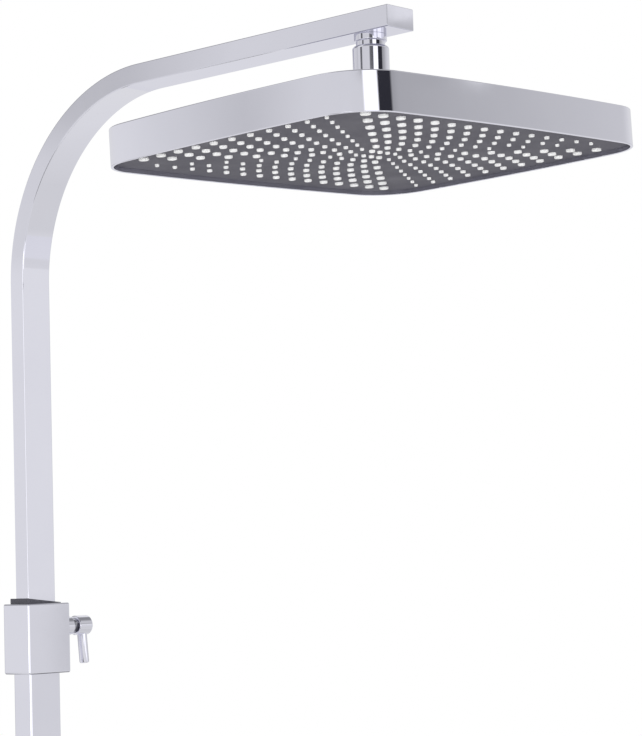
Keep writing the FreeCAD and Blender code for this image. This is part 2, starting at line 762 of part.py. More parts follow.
def side_rows():
    outer = (HEAD_W / 2 - SIDE_MARGIN, HEAD_D / 2 - SIDE_START_MARGIN, HEAD_D / 2 - SIDE_END_MARGIN)
    return fan_rows(outer, SIDE_INNER, len(SIDE_COUNTS))


def nozzles():
    """Every nozzle as x, y and diameter: the front and right fans, and both turned half round."""
    half = []
    for n, (row, count) in enumerate(zip(front_rows(), FRONT_COUNTS + (CORE_COUNT,))):
        half += nozzle_row(*row, count, NOZZLE_LARGE - n * NOZZLE_ROW_STEP)
    for n, (row, count) in enumerate(zip(side_rows(), SIDE_COUNTS)):
        for x, y, size in nozzle_row(*row, count, NOZZLE_LARGE - n * NOZZLE_ROW_STEP):
            half.append((-y, x, size))
    return half + [(-x, -y, size) for x, y, size in half]


def holed_slab(inset, low, high, circles):
    """Slab of the head's outline with round holes, each given as x, y and radius."""
    outer = head_outline(inset, low)
    holes = []
    for x, y, radius in circles:
        edge = Part.makeCircle(radius, V(x, y, low))
        holes.append(Part.Face(Part.Wire([edge])))
    return outer.cut(holes).extrude(V(0, 0, high - low))


def nozzle_plate():
    circles = [(x, y, size / 2 + SLIP) for x, y, size in nozzles()]
    return leaned(holed_slab(PLATE_INSET, FACE, FACE_BACK, circles))


def nozzle_mat():
    bores = [(x, y, size * NOZZLE_BORE / 2) for x, y, size in nozzles()]
    sheet = holed_slab(PLATE_INSET, FACE_BACK, MAT_BACK, bores)
    tips = []
    for x, y, size in nozzles():
        tip = rod(size / 2, FACE - NOZZLE_OUT, FACE_BACK, x, y)
        tips.append(tip.cut(rod(size * NOZZLE_BORE / 2, FACE - NOZZLE_OUT, FACE_BACK, x, y)))
    return leaned(sheet.fuse(tips).removeSplitter())


def backing_plate():
    feeds = [(x, y, size * NOZZLE_BORE / 2) for x, y, size in nozzles()]
    screws = [(x, y, SCREW_R + FIT) for x, y in screw_places()]
    plate = holed_slab(PLATE_INSET, GASKET_TOP, BACKING_TOP, feeds + screws)
    sinks = []
    for x, y in screw_places():
        sinks.append(rod(SCREW_HEAD_R + FIT, GASKET_TOP, GASKET_TOP + SCREW_HEAD_H + FIT, x, y))
    return leaned(plate.cut(sinks))


def head_gasket():
    ring = head_slab(PLATE_INSET, MAT_BACK, GASKET_TOP)
    return leaned(ring.cut(head_slab(PLATE_INSET + GASKET_W, MAT_BACK, GASKET_TOP)))


def plate_screws():
    screws = []
    for x, y in screw_places():
        head = rod(SCREW_HEAD_R, GASKET_TOP, GASKET_TOP + SCREW_HEAD_H, x, y)
        shank = rod(SCREW_R, GASKET_TOP + SCREW_HEAD_H, BACKING_TOP + SCREW_GRIP, x, y)
        screws.append(leaned(head.fuse(shank)))
    return Part.makeCompound(screws)


NODES = {
    "wall_foot": wall_foot,
    "wall_post": wall_post,
    "bracket_collar": bracket_collar,
    "bracket_grub": bracket_grub,
    "lower_tube": lower_tube,
    "clamp_block": clamp_block,
    "top_bush": top_bush,
    "clamp_sleeve": clamp_sleeve,
    "knob": knob,
    "lever_pin": lambda: lever_rod(LEVER_R),
    "clamp_spindle": clamp_spindle,
    "clamp_pad": clamp_pad,
    "tube_plug": tube_plug,
    "inlet_spigot": inlet_spigot,
    "inlet_strainer": inlet_strainer,
    "union_washer": union_washer,
    "union_nut": union_nut,
    "arm_tube": arm_tube,
    "arm_end_cap": arm_end_cap,
    "outlet_spigot": outlet_spigot,
    "spigot_o_ring": spigot_o_ring,
    "spigot_clip": spigot_clip,
    "piston": piston,
    "piston_seal_upper": lambda: piston_seal(seal_heights()[0]),
    "piston_seal_lower": lambda: piston_seal(seal_heights()[1]),
    "swivel_body": swivel_body,
    "flow_regulator": flow_regulator,
    "ball_stem": ball_stem,
    "ball_liner": ball_liner,
    "socket_cup": socket_cup,
    "socket_nut": socket_nut,
    "ball_seal": ball_seal,
    "hub_gasket": hub_gasket,
    "hub_nut": hub_nut,
    "head_shell": head_shell,
    "backing_plate": backing_plate,
    "plate_screws": plate_screws,
    "head_gasket": head_gasket,
    "nozzle_mat": nozzle_mat,
    "nozzle_plate": nozzle_plate,
}

os.makedirs("parts", exist_ok=True)
for name, make in NODES.items():
    shape = make()
    shape.exportStep("parts/" + name + ".step")
    box = shape.BoundBox
    print(name, len(shape.Solids), shape.isValid(), round(shape.Volume, 1),
          [round(v, 2) for v in (box.XMin, box.XMax, box.YMin, box.YMax, box.ZMin, box.ZMax)])
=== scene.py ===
import json
import math

import bpy
import numpy as np
from mathutils import Matrix


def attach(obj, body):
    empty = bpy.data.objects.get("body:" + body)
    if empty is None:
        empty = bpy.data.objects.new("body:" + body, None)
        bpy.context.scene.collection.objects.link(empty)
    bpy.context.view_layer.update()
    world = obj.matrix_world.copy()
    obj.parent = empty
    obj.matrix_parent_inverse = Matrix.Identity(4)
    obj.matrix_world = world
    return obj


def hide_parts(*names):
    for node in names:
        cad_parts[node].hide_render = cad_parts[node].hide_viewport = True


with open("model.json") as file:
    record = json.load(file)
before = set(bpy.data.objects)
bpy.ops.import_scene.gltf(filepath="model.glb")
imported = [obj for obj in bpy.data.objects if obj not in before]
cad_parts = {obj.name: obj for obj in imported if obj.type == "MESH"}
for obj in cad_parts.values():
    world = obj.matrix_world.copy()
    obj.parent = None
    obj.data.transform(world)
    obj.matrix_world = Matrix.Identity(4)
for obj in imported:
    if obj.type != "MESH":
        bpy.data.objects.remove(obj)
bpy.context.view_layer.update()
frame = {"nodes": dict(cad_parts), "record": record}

MM = 0.001
TURN = 2.0 * math.pi
QUARTER = math.pi / 2

# Sizes and places on the object, millimetres: X across, -Y away from the wall, +Z up.
# Clearances between pieces
FIT, SLIP, FREE = 0.05, 0.15, 0.3
HAIR = 0.03
# Soft rims: usual radius, flat kept beside one, broken edge of a turned piece, flat kept in a half section
RIM_SOFT, RIM_HOLD, BROKEN, FINE_HUG = 0.3, 0.1, 0.2, 0.03
# Angles of the rings round a soft rim
RIM_TURN = np.linspace(0, QUARTER, 6)

# Riser and arm: one flat tube in a wider one
RISER_Y = -60.0
TUBE_W, TUBE_D, TUBE_WALL, TUBE_EDGE = 27.0, 15.0, 1.2, 0.9
TUBE_FOOT, ARM_TOP = 82.6, 600.0
BEND_R, REACH, ARM_OVERHANG = 142.5, 363.2, 27.5
CAP_T, CAP_PLUG, CAP_SOFT, CAP_EDGE = 2.0, 8.0, 0.35, 0.3
LOWER_W, LOWER_D, LOWER_EDGE, LOWER_WALL, LOWER_BORE_EDGE = 30.0, 19.7, 1.4, 1.2, 0.3
LOWER_FOOT, LOWER_TOP = -137.0, 177.3
ARM_BOTTOM = ARM_TOP - TUBE_D
ARM_MIDDLE = ARM_TOP - TUBE_D / 2
BEND_Y, BEND_Z = RISER_Y - BEND_R, ARM_MIDDLE - BEND_R
OUTLET_Y = RISER_Y - REACH
ARM_END = OUTLET_Y - ARM_OVERHANG

# Clamp block, bush and wall collar
CLAMP_W, CLAMP_D, CLAMP_EDGE, CLAMP_FORWARD = 41.4, 30.0, 1.2, 0.85
CLAMP_FOOT, CLAMP_TOP, CLAMP_FOOT_SOFT = 148.9, 202.6, 1.5
BUSH_W, BUSH_D, BUSH_FOOT = 33.3, 21.9, 195.6
BUSH_HIGH, BUSH_LOW, BUSH_SOFT_TOP, BUSH_SOFT_FOOT = 4.2, 0.4, 0.4, 0.2
COLLAR_WALL, COLLAR_H = 5.2, 24.0

# Clamp knob, along X
KNOB_Z = CLAMP_TOP - 18.4
SPINDLE_R, SLEEVE_ROOT_R, SLEEVE_R, SLEEVE_NOSE_R, KNOB_R = 4.0, 6.0, 7.3, 5.6, 7.6
SLEEVE_START = CLAMP_W / 2
SLEEVE_ROOT_L = 2.5
SLEEVE_END = SLEEVE_START + 12.8
NOSE_END = SLEEVE_END + 8.4
KNOB_START = SLEEVE_END + 5.0
KNOB_END = KNOB_START + 13.2
KNOB_END_T, AXLE_R = 3.0, 0.6
LEVER_R, LEVER_L, LEVER_ROOT, LEVER_LEAN, LEVER_INSET, LEVER_SOFT = 3.8, 29.6, 2.0, 5.0, 5.4, 1.0

# Outlet, swivel and ball joint, heights on the outlet's axis
COLLAR_FOOT, SWIVEL_TOP, LIP_FOOT = 580.4, 577.1, 568.4
CHAMBER_FOOT, SWIVEL_FOOT = 561.8, 554.1
SPIGOT_TOP, SPIGOT_FOOT = 588.6, 564.6
SPIGOT_BORE, SPIGOT_ROOT_R, SPIGOT_R, SPIGOT_COLLAR_R = 4.5, 5.7, 10.0, 11.3
SWIVEL_R, CHAMBER_R = 12.6, 11.5
STEM_BORE, STEM_R, STEM_THREAD_R, BALL_R, HOLLOW_R = 3.0, 4.5, 7.0, 10.0, 11.94
SOCKET_R, SOCKET_ROOT_R, SOCKET_BORE, NUT_H, NUT_SOFT = 16.5, 14.0, 4.0, 8.0, 1.2
FLANGE_LIFT, CUP_FLOOR_T = 1.0, 2.6
BALL = np.array([0.0, OUTLET_Y, 538.9])

# Shower head, heights from the ball's centre
LEAN_FRONT, LEAN_SIDE = math.radians(-1.2), math.radians(-1.6)
HEAD_W, HEAD_D, HEAD_BOW, HEAD_CORNER = 307.0, 252.5, 5.0, 37.0
HEAD_WALL, HEAD_SHOULDER, CROWN_FLAT = 2.0, 62.0, 8.0
CROWN, CROWN_UNDER, RIM_TOP, RIM_FOOT = -7.5, -9.5, -12.5, -38.4
MAT_TOP, MAT_FOOT, NOZZLE_FOOT = -31.5, -33.0, -36.8
NOZZLE_LARGE, NOZZLE_SMALL, NOZZLE_ROW_STEP = 7.0, 2.8, 0.45
NOZZLE_BORE, NOZZLE_LIP, NOZZLE_SOFT, NOZZLE_SIDES = 0.45, 0.84, 0.4, 10
# Nozzle fans: number in each row, then margins of the outer row and places of the inner row
FRONT_COUNTS, SIDE_COUNTS = (15, 13, 11, 9, 7, 5), (11, 10, 9, 8, 7, 6, 5, 3)
FRONT_MARGINS, FRONT_INNER = (25.6, 32.1, 44.8), (21.9, 23.9, 21.8)
SIDE_MARGINS, SIDE_INNER = (19.5, 39.9, 46.3), (24.8, 10.45, 10.0)
CORE_ROW, CORE_COUNT = (7.6, 12.0, 11.5), 4

# Wall stem and inlet union
FOOT_T, STEM_PIN_R, WALL_STEM_R, STEM_PIN_L = 6.0, 6.0, 10.0, 4.0
UNION_FOOT, UNION_TOP, UNION_SEAT, UNION_LIP_FOOT = -170.0, -148.7, -158.0, -152.7
UNION_FLATS, UNION_PASSAGE_R, UNION_THREAD_R, UNION_RELIEF_R = 27.0, 9.3, 10.48, 10.98
UNION_CHAMFER, UNION_SHOULDER, UNION_MOUTH = 1.1, 1.6, 0.4


# Surfaces

def soft_path(corners, radii, steps=5, hug=0.06):
    """Closed path through corners, each cut off by an arc that touches both its sides.

    An arc's middle lies on the bisector, radius / sin(half angle) from the corner, and its points swing
    evenly from one side's touching point to the other's. One more point on each side, hug beyond
    the arc's end, keeps the flats flat in shading.
    """
    corners = np.asarray(corners, float)
    radii = np.broadcast_to(np.asarray(radii, float), len(corners))[:, None]
    back = np.roll(corners, 1, axis=0) - corners
    ahead = np.roll(corners, -1, axis=0) - corners
    back = back / np.linalg.norm(back, axis=1, keepdims=True)
    ahead = ahead / np.linalg.norm(ahead, axis=1, keepdims=True)
    half = np.arccos(np.clip((back * ahead).sum(1, keepdims=True), -1, 1)) / 2
    bisector = (back + ahead) / np.linalg.norm(back + ahead, axis=1, keepdims=True)
    middle = corners + bisector * radii / np.sin(half)
    reach = radii / np.tan(half)
    first = corners + back * reach
    last = corners + ahead * reach
    swing = math.pi - 2 * half
    share = np.linspace(0, 1, steps + 1)[None, :, None]
    blend = np.sin((1 - share) * swing[:, None]) * (first - middle)[:, None]
    blend = blend + np.sin(share * swing[:, None]) * (last - middle)[:, None]
    arc = middle[:, None] + blend / np.sin(swing)[:, None]
    rows = [(first + back * hug)[:, None], arc, (last + ahead * hug)[:, None]]
    return np.concatenate(rows, axis=1).reshape(-1, 2)


def bar_rings(width, depth, edge, steps=6, hug=0.06):
    """Rounded rectangles, one for each entry of width, depth and edge radius.

    Each corner is a quarter circle about a middle that lies the edge radius inside both sides,
    with one more point hug along each flat next to it.
    """
    width, depth, edge = np.broadcast_arrays(np.atleast_1d(width), depth, edge)
    side = np.array([[1, 1], [-1, 1], [-1, -1], [1, -1]], float)
    quarter = np.arange(4) * QUARTER
    angle = quarter[:, None] + np.linspace(0, QUARTER, steps + 1)[None, :]
    way = np.stack([np.cos(angle), np.sin(angle)], axis=-1)
    middle = side * np.stack([width / 2 - edge, depth / 2 - edge], axis=-1)[:, None, :]
    arc = middle[:, :, None, :] + edge[:, None, None, None] * way
    before = arc[:, :, :1] - hug * np.stack([-way[:, :1, 1], way[:, :1, 0]], axis=-1)
    after = arc[:, :, -1:] + hug * np.stack([-way[:, -1:, 1], way[:, -1:, 0]], axis=-1)
    return np.concatenate([before, arc, after], axis=2).reshape(len(width), -1, 2)


def at_heights(rings, heights):
    """Flat rings, each raised to its own height."""
    heights = np.broadcast_to(np.asarray(heights, float)[:, None, None], rings.shape[:2] + (1,))
    return np.concatenate([rings, heights], axis=-1)


def lathe(profile, segments=72):
    """Surface of revolution about Z: each point of the profile sweeps a circle of its own radius."""
    angle = np.arange(segments) * TURN / segments
    profile = np.asarray(profile, float)
    circle = np.stack([np.cos(angle), np.sin(angle)], axis=-1)
    return at_heights(profile[:, :1, None] * circle, profile[:, 1])


def along_x(rings, y=RISER_Y, z=KNOB_Z):
    """A shape turned about Z, laid along X: its height becomes x."""
    return np.stack([rings[..., 2], rings[..., 0] + y, rings[..., 1] + z], axis=-1)


def along_y(rings, x=0.0, z=0.0):
    """A shape turned about Z, laid along Y: its height becomes y."""
    return np.stack([rings[..., 1] + x, rings[..., 2], rings[..., 0] + z], axis=-1)


def on_riser(rings):
    """A shape about Z, put on the riser's axis."""
    return rings + np.array([0.0, RISER_Y, 0.0])


def on_outlet(rings):
    """A shape about Z, put on the arm's outlet axis."""
    return rings + np.array([0.0, OUTLET_Y, 0.0])


def leaned(rings):
    """A shape about the ball's centre, leaned with the head to the side, then to the front, in place."""
    side = np.array(Matrix.Rotation(LEAN_SIDE, 3, "Y"))
    front = np.array(Matrix.Rotation(LEAN_FRONT, 3, "X"))
    return rings @ (front @ side).T + BALL


def arm_sweep(width, depth, edge):
    """A rounded rectangle carried up the riser, round a quarter circle and out along the arm to its end cap.

    Along the path a point keeps its place across; its offset in depth is added to the path's radius
    in the bend, to the riser's y below it and to the arm's height beyond it.
    """
    section = bar_rings(width, depth, edge)[0]
    short, straight_rings, bend_rings = 0.4, 12, 65
    rise = np.linspace(TUBE_FOOT, BEND_Z - short, straight_rings)
    bend = np.linspace(0, QUARTER, bend_rings)
    out = np.linspace(BEND_Y - short, ARM_END + CAP_T, straight_rings)
    y = np.concatenate([np.full(len(rise), RISER_Y), BEND_Y + BEND_R * np.cos(bend), out])
    z = np.concatenate([rise, BEND_Z + BEND_R * np.sin(bend), np.full(len(out), ARM_MIDDLE)])
    lean = np.concatenate([np.zeros(len(rise)), bend, np.full(len(out), QUARTER)])
    across = np.broadcast_to(section[None, :, 0], (len(y), len(section)))
    off = section[None, :, 1]
    return np.stack([across, y[:, None] + off * np.cos(lean)[:, None],
                     z[:, None] + off * np.sin(lean)[:, None]], axis=-1)


def head_rings(inset, sides=(14, 30, 14)):
    """The head's outline drawn in by each inset.

    A quarter of it runs along a wide arc on the short side, round a corner arc and along a wide arc on
    the long side. Both wide arcs shrink by the inset. The corner arc's middle is where two circles
    cross, each the wide arc's radius less the corner's radius about the wide arc's middle.
    The quarter is mirrored into the other three.
    """
    inset = np.asarray(inset, float)
    half_x, half_y = HEAD_W / 2 - HEAD_BOW, HEAD_D / 2 - HEAD_BOW
    long_r = (half_x ** 2 + HEAD_BOW ** 2) / (2 * HEAD_BOW)
    short_r = (half_y ** 2 + HEAD_BOW ** 2) / (2 * HEAD_BOW)
    long_y, short_x = HEAD_D / 2 - long_r, HEAD_W / 2 - short_r
    corner = np.maximum(HEAD_CORNER - inset, HEAD_CORNER / 4)
    big, small = long_r - inset - corner, short_r - inset - corner
    apart = math.hypot(short_x, long_y)
    run = (big ** 2 - small ** 2 + apart ** 2) / (2 * apart)
    aside = np.sqrt(big ** 2 - run ** 2)
    way_x, way_y = short_x / apart, -long_y / apart
    middle_x = run * way_x + aside * way_y
    middle_y = long_y + run * way_y - aside * way_x
    low = np.arctan2(middle_y, middle_x - short_x)[:, None]
    high = np.arctan2(middle_y - long_y, middle_x)[:, None]
    near = np.append(np.linspace(0, 0.98, sides[0]), 1.0)[None, :]
    short_way = low * near
    corner_way = low + (high - low) * np.linspace(0, 1, sides[1] + 1)[None, 1:-1]
    long_way = QUARTER - (QUARTER - high) * near[:, ::-1]
    short_arc, long_arc = (short_r - inset)[:, None], (long_r - inset)[:, None]
    x = np.concatenate([short_x + short_arc * np.cos(short_way),
                        middle_x[:, None] + corner[:, None] * np.cos(corner_way),
                        long_arc * np.cos(long_way)], axis=1)
    y = np.concatenate([short_arc * np.sin(short_way),
                        middle_y[:, None] + corner[:, None] * np.sin(corner_way),
                        long_y + long_arc * np.sin(long_way)], axis=1)
    x = np.concatenate([x, -x[:, -2::-1], -x[:, 1:], x[:, -2:0:-1]], axis=1)
    y = np.concatenate([y, y[:, -2::-1], -y[:, 1:], -y[:, -2:0:-1]], axis=1)
    return np.stack([x, y], axis=-1)


def nut_rings(flats, profile, segments=96):
    """Six-sided rings with chamfered corners.

    The radius at an angle is half the flats over the cosine of the angle from the nearest flat's middle,
    but never more than the profile's radius at that height.
    """
    angle = np.arange(segments) * TURN / segments
    hexagon = flats / 2 / np.cos(angle % (TURN / 6) - TURN / 12)
    radius = np.minimum(hexagon[None, :], profile[:, :1])
    circle = np.stack([np.cos(angle), np.sin(angle)], axis=-1)
    return at_heights(radius[..., None] * circle, profile[:, 1])


# Meshes

def skin(shells, loop):
    """Quads over grids of rings.

    Each ring closes on itself. The last ring joins the first where loop is set, and otherwise both end
    rings get a flat face. Faces are turned over where the enclosed volume is negative.
    """
    count, rows, columns = shells.shape[:3]
    i = np.arange(rows if loop else rows - 1)[:, None]
    j = np.arange(columns)[None, :]
    over, beside = (i + 1) % rows, (j + 1) % columns
    corners = (i * columns + j, over * columns + j, over * columns + beside, i * columns + beside)
    one = np.stack(np.broadcast_arrays(*corners), axis=-1).reshape(-1, 4)
    quads = (np.arange(count)[:, None, None] * rows * columns + one[None]).reshape(-1, 4)
    ends = np.zeros((0, columns), int)
    if not loop:
        start = np.arange(count)[:, None] * rows * columns
        first = start + np.arange(columns)[None, :]
        ends = np.concatenate([first, first[:, ::-1] + (rows - 1) * columns])
    points = shells.reshape(-1, 3)
    pivot = np.broadcast_to(ends[:, :1], ends[:, 1:-1].shape)
    flats = np.stack([pivot, ends[:, 1:-1], ends[:, 2:]], axis=-1)
    triangles = np.concatenate([quads[:, :3], quads[:, [0, 2, 3]], flats.reshape(-1, 3)])
    a, b, c = (points[triangles[:, k]] for k in range(3))
    if (a * np.cross(b, c)).sum() < 0:
        quads, ends = quads[:, ::-1], ends[:, ::-1]
    return points, quads.tolist() + ends.tolist()


def piece(name, rings, finish, body, *stands_for, loop=True, crease=34.0, slot=None):
    """A closed piece of the object from rings of points in millimetres, smooth except along creases."""
    shells = rings if rings.ndim == 4 else rings[None]
    points, faces = skin(shells, loop)
    mesh = bpy.data.meshes.new(name)
    mesh.from_pydata((points * MM).tolist(), [], faces)
    mesh.validate()
    mesh.shade_smooth()
    mesh.set_sharp_from_angle(angle=math.radians(crease))
    mesh.materials.append(finishes[finish])
    made = bpy.data.objects.new(name, mesh)
    bpy.context.scene.collection.objects.link(made)
    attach(made, body)
    if stands_for:
        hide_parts(*stands_for)
    return made


# Finishes

class Nodes:
    """Builds one finish: a principled shader and the nodes that feed it."""

    def __init__(self, name):
        self.material = bpy.data.materials.new(name)
        self.material.use_nodes = True
        self.tree = self.material.node_tree
        self.shader = self.tree.nodes["Principled BSDF"]
        self.place = self.add("ShaderNodeTexCoord").outputs["Object"]

    def add(self, kind, **settings):
        """One new node with its settings."""
        node = self.tree.nodes.new(kind)
        for key, value in settings.items():
            setattr(node, key, value)
        return node

    def join(self, out, into):
        """A link from an output to an input."""
        self.tree.links.new(out, into)

    def noise(self, scale, detail=3.0, roughness=0.55, stretch=None):
        """Cloudy noise on the piece itself."""
        node = self.add("ShaderNodeTexNoise")
        node.inputs["Scale"].default_value = scale
        node.inputs["Detail"].default_value = detail
        node.inputs["Roughness"].default_value = roughness
        where = self.place
        if stretch:
            mapping = self.add("ShaderNodeMapping")
            mapping.inputs["Scale"].default_value = stretch
            self.join(where, mapping.inputs["Vector"])
            where = mapping.outputs["Vector"]
        self.join(where, node.inputs["Vector"])
        return node.outputs["Fac"]

    def span(self, value, low, high, start=0.3, end=0.7):
        """A value from start to end, carried to low and high."""
        node = self.add("ShaderNodeMapRange")
        node.inputs["From Min"].default_value = start
        node.inputs["From Max"].default_value = end
        node.inputs["To Min"].default_value = low
        node.inputs["To Max"].default_value = high
        self.join(value, node.inputs["Value"])
        return node.outputs["Result"]

    def tint(self, value, dark, light, start=0.3, end=0.7):
        """A colour that goes from dark to light with a value."""
        node = self.add("ShaderNodeValToRGB")
        node.color_ramp.elements[0].position = start
        node.color_ramp.elements[0].color = (*dark, 1)
        node.color_ramp.elements[1].position = end
        node.color_ramp.elements[1].color = (*light, 1)
        self.join(value, node.inputs["Fac"])
        return node.outputs["Color"]

    def bump(self, height, strength, distance):
        """Fine relief of the surface."""
        node = self.add("ShaderNodeBump")
        node.inputs["Strength"].default_value = strength
        node.inputs["Distance"].default_value = distance
        self.join(height, node.inputs["Height"])
        self.join(node.outputs["Normal"], self.shader.inputs["Normal"])

    def combine(self, operation, *values):
        """Arithmetic on numbers and outputs."""
        node = self.add("ShaderNodeMath", operation=operation)
        for place, value in enumerate(values):
            if isinstance(value, float):
                node.inputs[place].default_value = value
            else:
                self.join(value, node.inputs[place])
        return node.outputs[0]

    def colour(self, out):
        """The finish's colour."""
        self.join(out, self.shader.inputs["Base Color"])

    def rough(self, out):
        """The finish's roughness."""
        self.join(out, self.shader.inputs["Roughness"])

    def constant(self, **values):
        """Values that are the same all over, on the shader's own sockets."""
        for key, value in values.items():
            self.shader.inputs[key.replace("_", " ")].default_value = value


def polished_chrome():
    """Mirror plating: a cool white metal with faint clouds in tint and gloss."""
    m = Nodes("polished_chrome")
    m.constant(Metallic=1.0)
    m.colour(m.tint(m.noise(11.0), (0.825, 0.825, 0.905), (0.855, 0.855, 0.932)))
    m.rough(m.span(m.noise(60.0, 4.0), 0.03, 0.06))
    return m.material


def painted_shade_chrome():
    """Chrome of the knob's neck with painted shade and painted reflections: dull dark blotches between
    brighter ones stand in for the shade down in the groove.
    """
    m = Nodes("painted_shade_chrome")
    m.constant(Metallic=1.0)
    m.colour(m.tint(m.noise(170.0, 2.0), (0.1, 0.1, 0.125), (0.66, 0.66, 0.72), 0.46, 0.6))
    m.rough(m.span(m.noise(300.0), 0.12, 0.24))
    return m.material


def cast_brass():
    """Bare turned brass: warm metal with fine turning marks and darker clouds."""
    m = Nodes("cast_brass")
    m.constant(Metallic=1.0)
    m.colour(m.tint(m.noise(90.0), (0.56, 0.42, 0.2), (0.72, 0.57, 0.3)))
    m.rough(m.span(m.noise(40.0, 4.0, stretch=(1, 1, 30)), 0.24, 0.4))
    return m.material


def plain_steel():
    """Plain steel: grey metal with a brushed grain."""
    m = Nodes("plain_steel")
    m.constant(Metallic=1.0)
    m.colour(m.tint(m.noise(120.0), (0.5, 0.51, 0.53), (0.64, 0.65, 0.67)))
    m.rough(m.span(m.noise(60.0, 4.0, stretch=(1, 20, 1)), 0.25, 0.42))
    return m.material


def black_rubber():
    """Matt rubber: near black, with a dusty bloom and a fine grain."""
    m = Nodes("black_rubber")
    m.colour(m.tint(m.noise(150.0), (0.018, 0.018, 0.019), (0.04, 0.04, 0.041)))
    m.rough(m.span(m.noise(400.0), 0.6, 0.8))
    m.bump(m.noise(1800.0), 0.15, 0.0002)
    return m.material


def black_plastic():
    """Moulded black plastic: charcoal with a soft sheen and a fine moulded grain."""
    m = Nodes("black_plastic")
    m.colour(m.tint(m.noise(180.0), (0.04, 0.0395, 0.05), (0.064, 0.063, 0.078)))
    m.rough(m.span(m.noise(300.0), 0.34, 0.5))
    m.bump(m.noise(2500.0), 0.1, 0.0001)
    return m.material


def white_plastic():
    """Moulded white plastic: slightly warm, with faint flow marks."""
    m = Nodes("white_plastic")
    m.colour(m.tint(m.noise(60.0), (0.74, 0.735, 0.71), (0.82, 0.815, 0.79)))
    m.rough(m.span(m.noise(220.0), 0.38, 0.5))
    m.bump(m.noise(1500.0), 0.06, 0.0001)
    return m.material


def satin_face():
    """Satin grey spray face: a fine speckle over soft clouds, with little shine."""
    m = Nodes("satin_face")
    m.constant(Specular_IOR_Level=0.12)
    m.colour(m.tint(m.noise(900.0, 2.0), (0.081, 0.078, 0.099), (0.101, 0.098, 0.122)))
    m.rough(m.span(m.noise(26.0, 4.0), 0.45, 0.58))
    m.bump(m.noise(2600.0), 0.08, 0.0001)
    return m.material


def white_silicone():
    """Soft white rubber of the nozzles: milky, with a slightly uneven satin skin."""
    m = Nodes("white_silicone")
    m.colour(m.tint(m.noise(300.0), (0.93, 0.93, 0.93), (0.97, 0.97, 0.97)))
    m.rough(m.span(m.noise(700.0), 0.42, 0.58))
    m.bump(m.noise(2500.0), 0.05, 0.0001)
    return m.material


finishes = {
    "chrome": polished_chrome(),
    "groove": painted_shade_chrome(),
    "brass": cast_brass(),
    "steel": plain_steel(),
    "black_rubber": black_rubber(),
    "black_plastic": black_plastic(),
    "white_plastic": white_plastic(),
    "face_grey": satin_face(),
    "white_silicone": white_silicone(),
}
for row in frame["record"]["subparts"]:
    node_mesh = frame["nodes"][row["node"]].data
    node_mesh.materials.clear()
    node_mesh.materials.append(finishes[row["material_slot"]])


# Riser, arm and clamp block

def hollow_bar(outer, bore, low, high, soft_top=RIM_SOFT, soft_low=RIM_SOFT, forward=0.0):
    """Upright tube of rounded rectangular section with soft outer rims.

    The rings climb the outside, drawn in by r - sqrt(r*r - t*t) over the last r of height at each rim,
    and go back down the bore. The outside may stand forward of the bore.
    """
    foot_rim = low + soft_low * (1 - np.cos(RIM_TURN))
    top_rim = high - soft_top * (1 - np.sin(RIM_TURN))
    between = [low + soft_low + RIM_HOLD, high - soft_top - RIM_HOLD]
    down_bore = [high, high - RIM_SOFT, low + RIM_SOFT, low]
    heights = np.concatenate([foot_rim, between, top_rim, down_bore])
    inset = np.concatenate([soft_low * (1 - np.sin(RIM_TURN)), [0, 0], soft_top * (1 - np.cos(RIM_TURN))])
    edge = np.maximum(outer[2] - inset, RIM_HOLD)
    shell = bar_rings(outer[0] - 2 * inset, outer[1] - 2 * inset, edge)
    shell[..., 1] -= forward
    hole = bar_rings(np.full(len(down_bore), bore[0]), bore[1], bore[2])
    return on_riser(at_heights(np.concatenate([shell, hole]), heights))


def sloped_bush():
    """The bush: a hollow bar whose height above the block falls evenly from its left side to its right."""
    size = (BUSH_W, BUSH_D, CLAMP_EDGE)
    tube_gap = (TUBE_W + 2 * SLIP, TUBE_D + 2 * SLIP, TUBE_EDGE)
    rings = hollow_bar(size, tube_gap, BUSH_FOOT, CLAMP_TOP + BUSH_HIGH, BUSH_SOFT_TOP, BUSH_SOFT_FOOT)
    above = np.maximum(rings[..., 2] - CLAMP_TOP, 0)
    fall = (rings[..., 0] / BUSH_W + 0.5) * (1 - BUSH_LOW / BUSH_HIGH)
    rings[..., 2] -= above * fall
    return rings


def end_cap():
    """The arm's end: a plate with soft rims in front of a plug, as rings along Y.

    At the rim the rings shrink by r - sqrt(r*r - t*t) over the last r.
    """
    seam = ARM_END + CAP_T
    plug = TUBE_WALL + SLIP
    rim = CAP_SOFT * (1 - np.cos(RIM_TURN))
    inset = np.concatenate([[plug, plug, 0.0, 0.0], rim, [CAP_SOFT + RIM_HOLD]])
    y = np.concatenate([[seam + CAP_PLUG, seam, seam, ARM_END + CAP_SOFT + RIM_HOLD],
                        ARM_END + CAP_SOFT * (1 - np.sin(RIM_TURN)), [ARM_END]])
    flat = bar_rings(TUBE_W - 2 * inset, TUBE_D - 2 * inset, np.maximum(TUBE_EDGE - inset, CAP_EDGE))
    y = np.broadcast_to(y[:, None], flat.shape[:2])
    return np.stack([flat[..., 0], y, flat[..., 1] + ARM_MIDDLE], axis=-1)


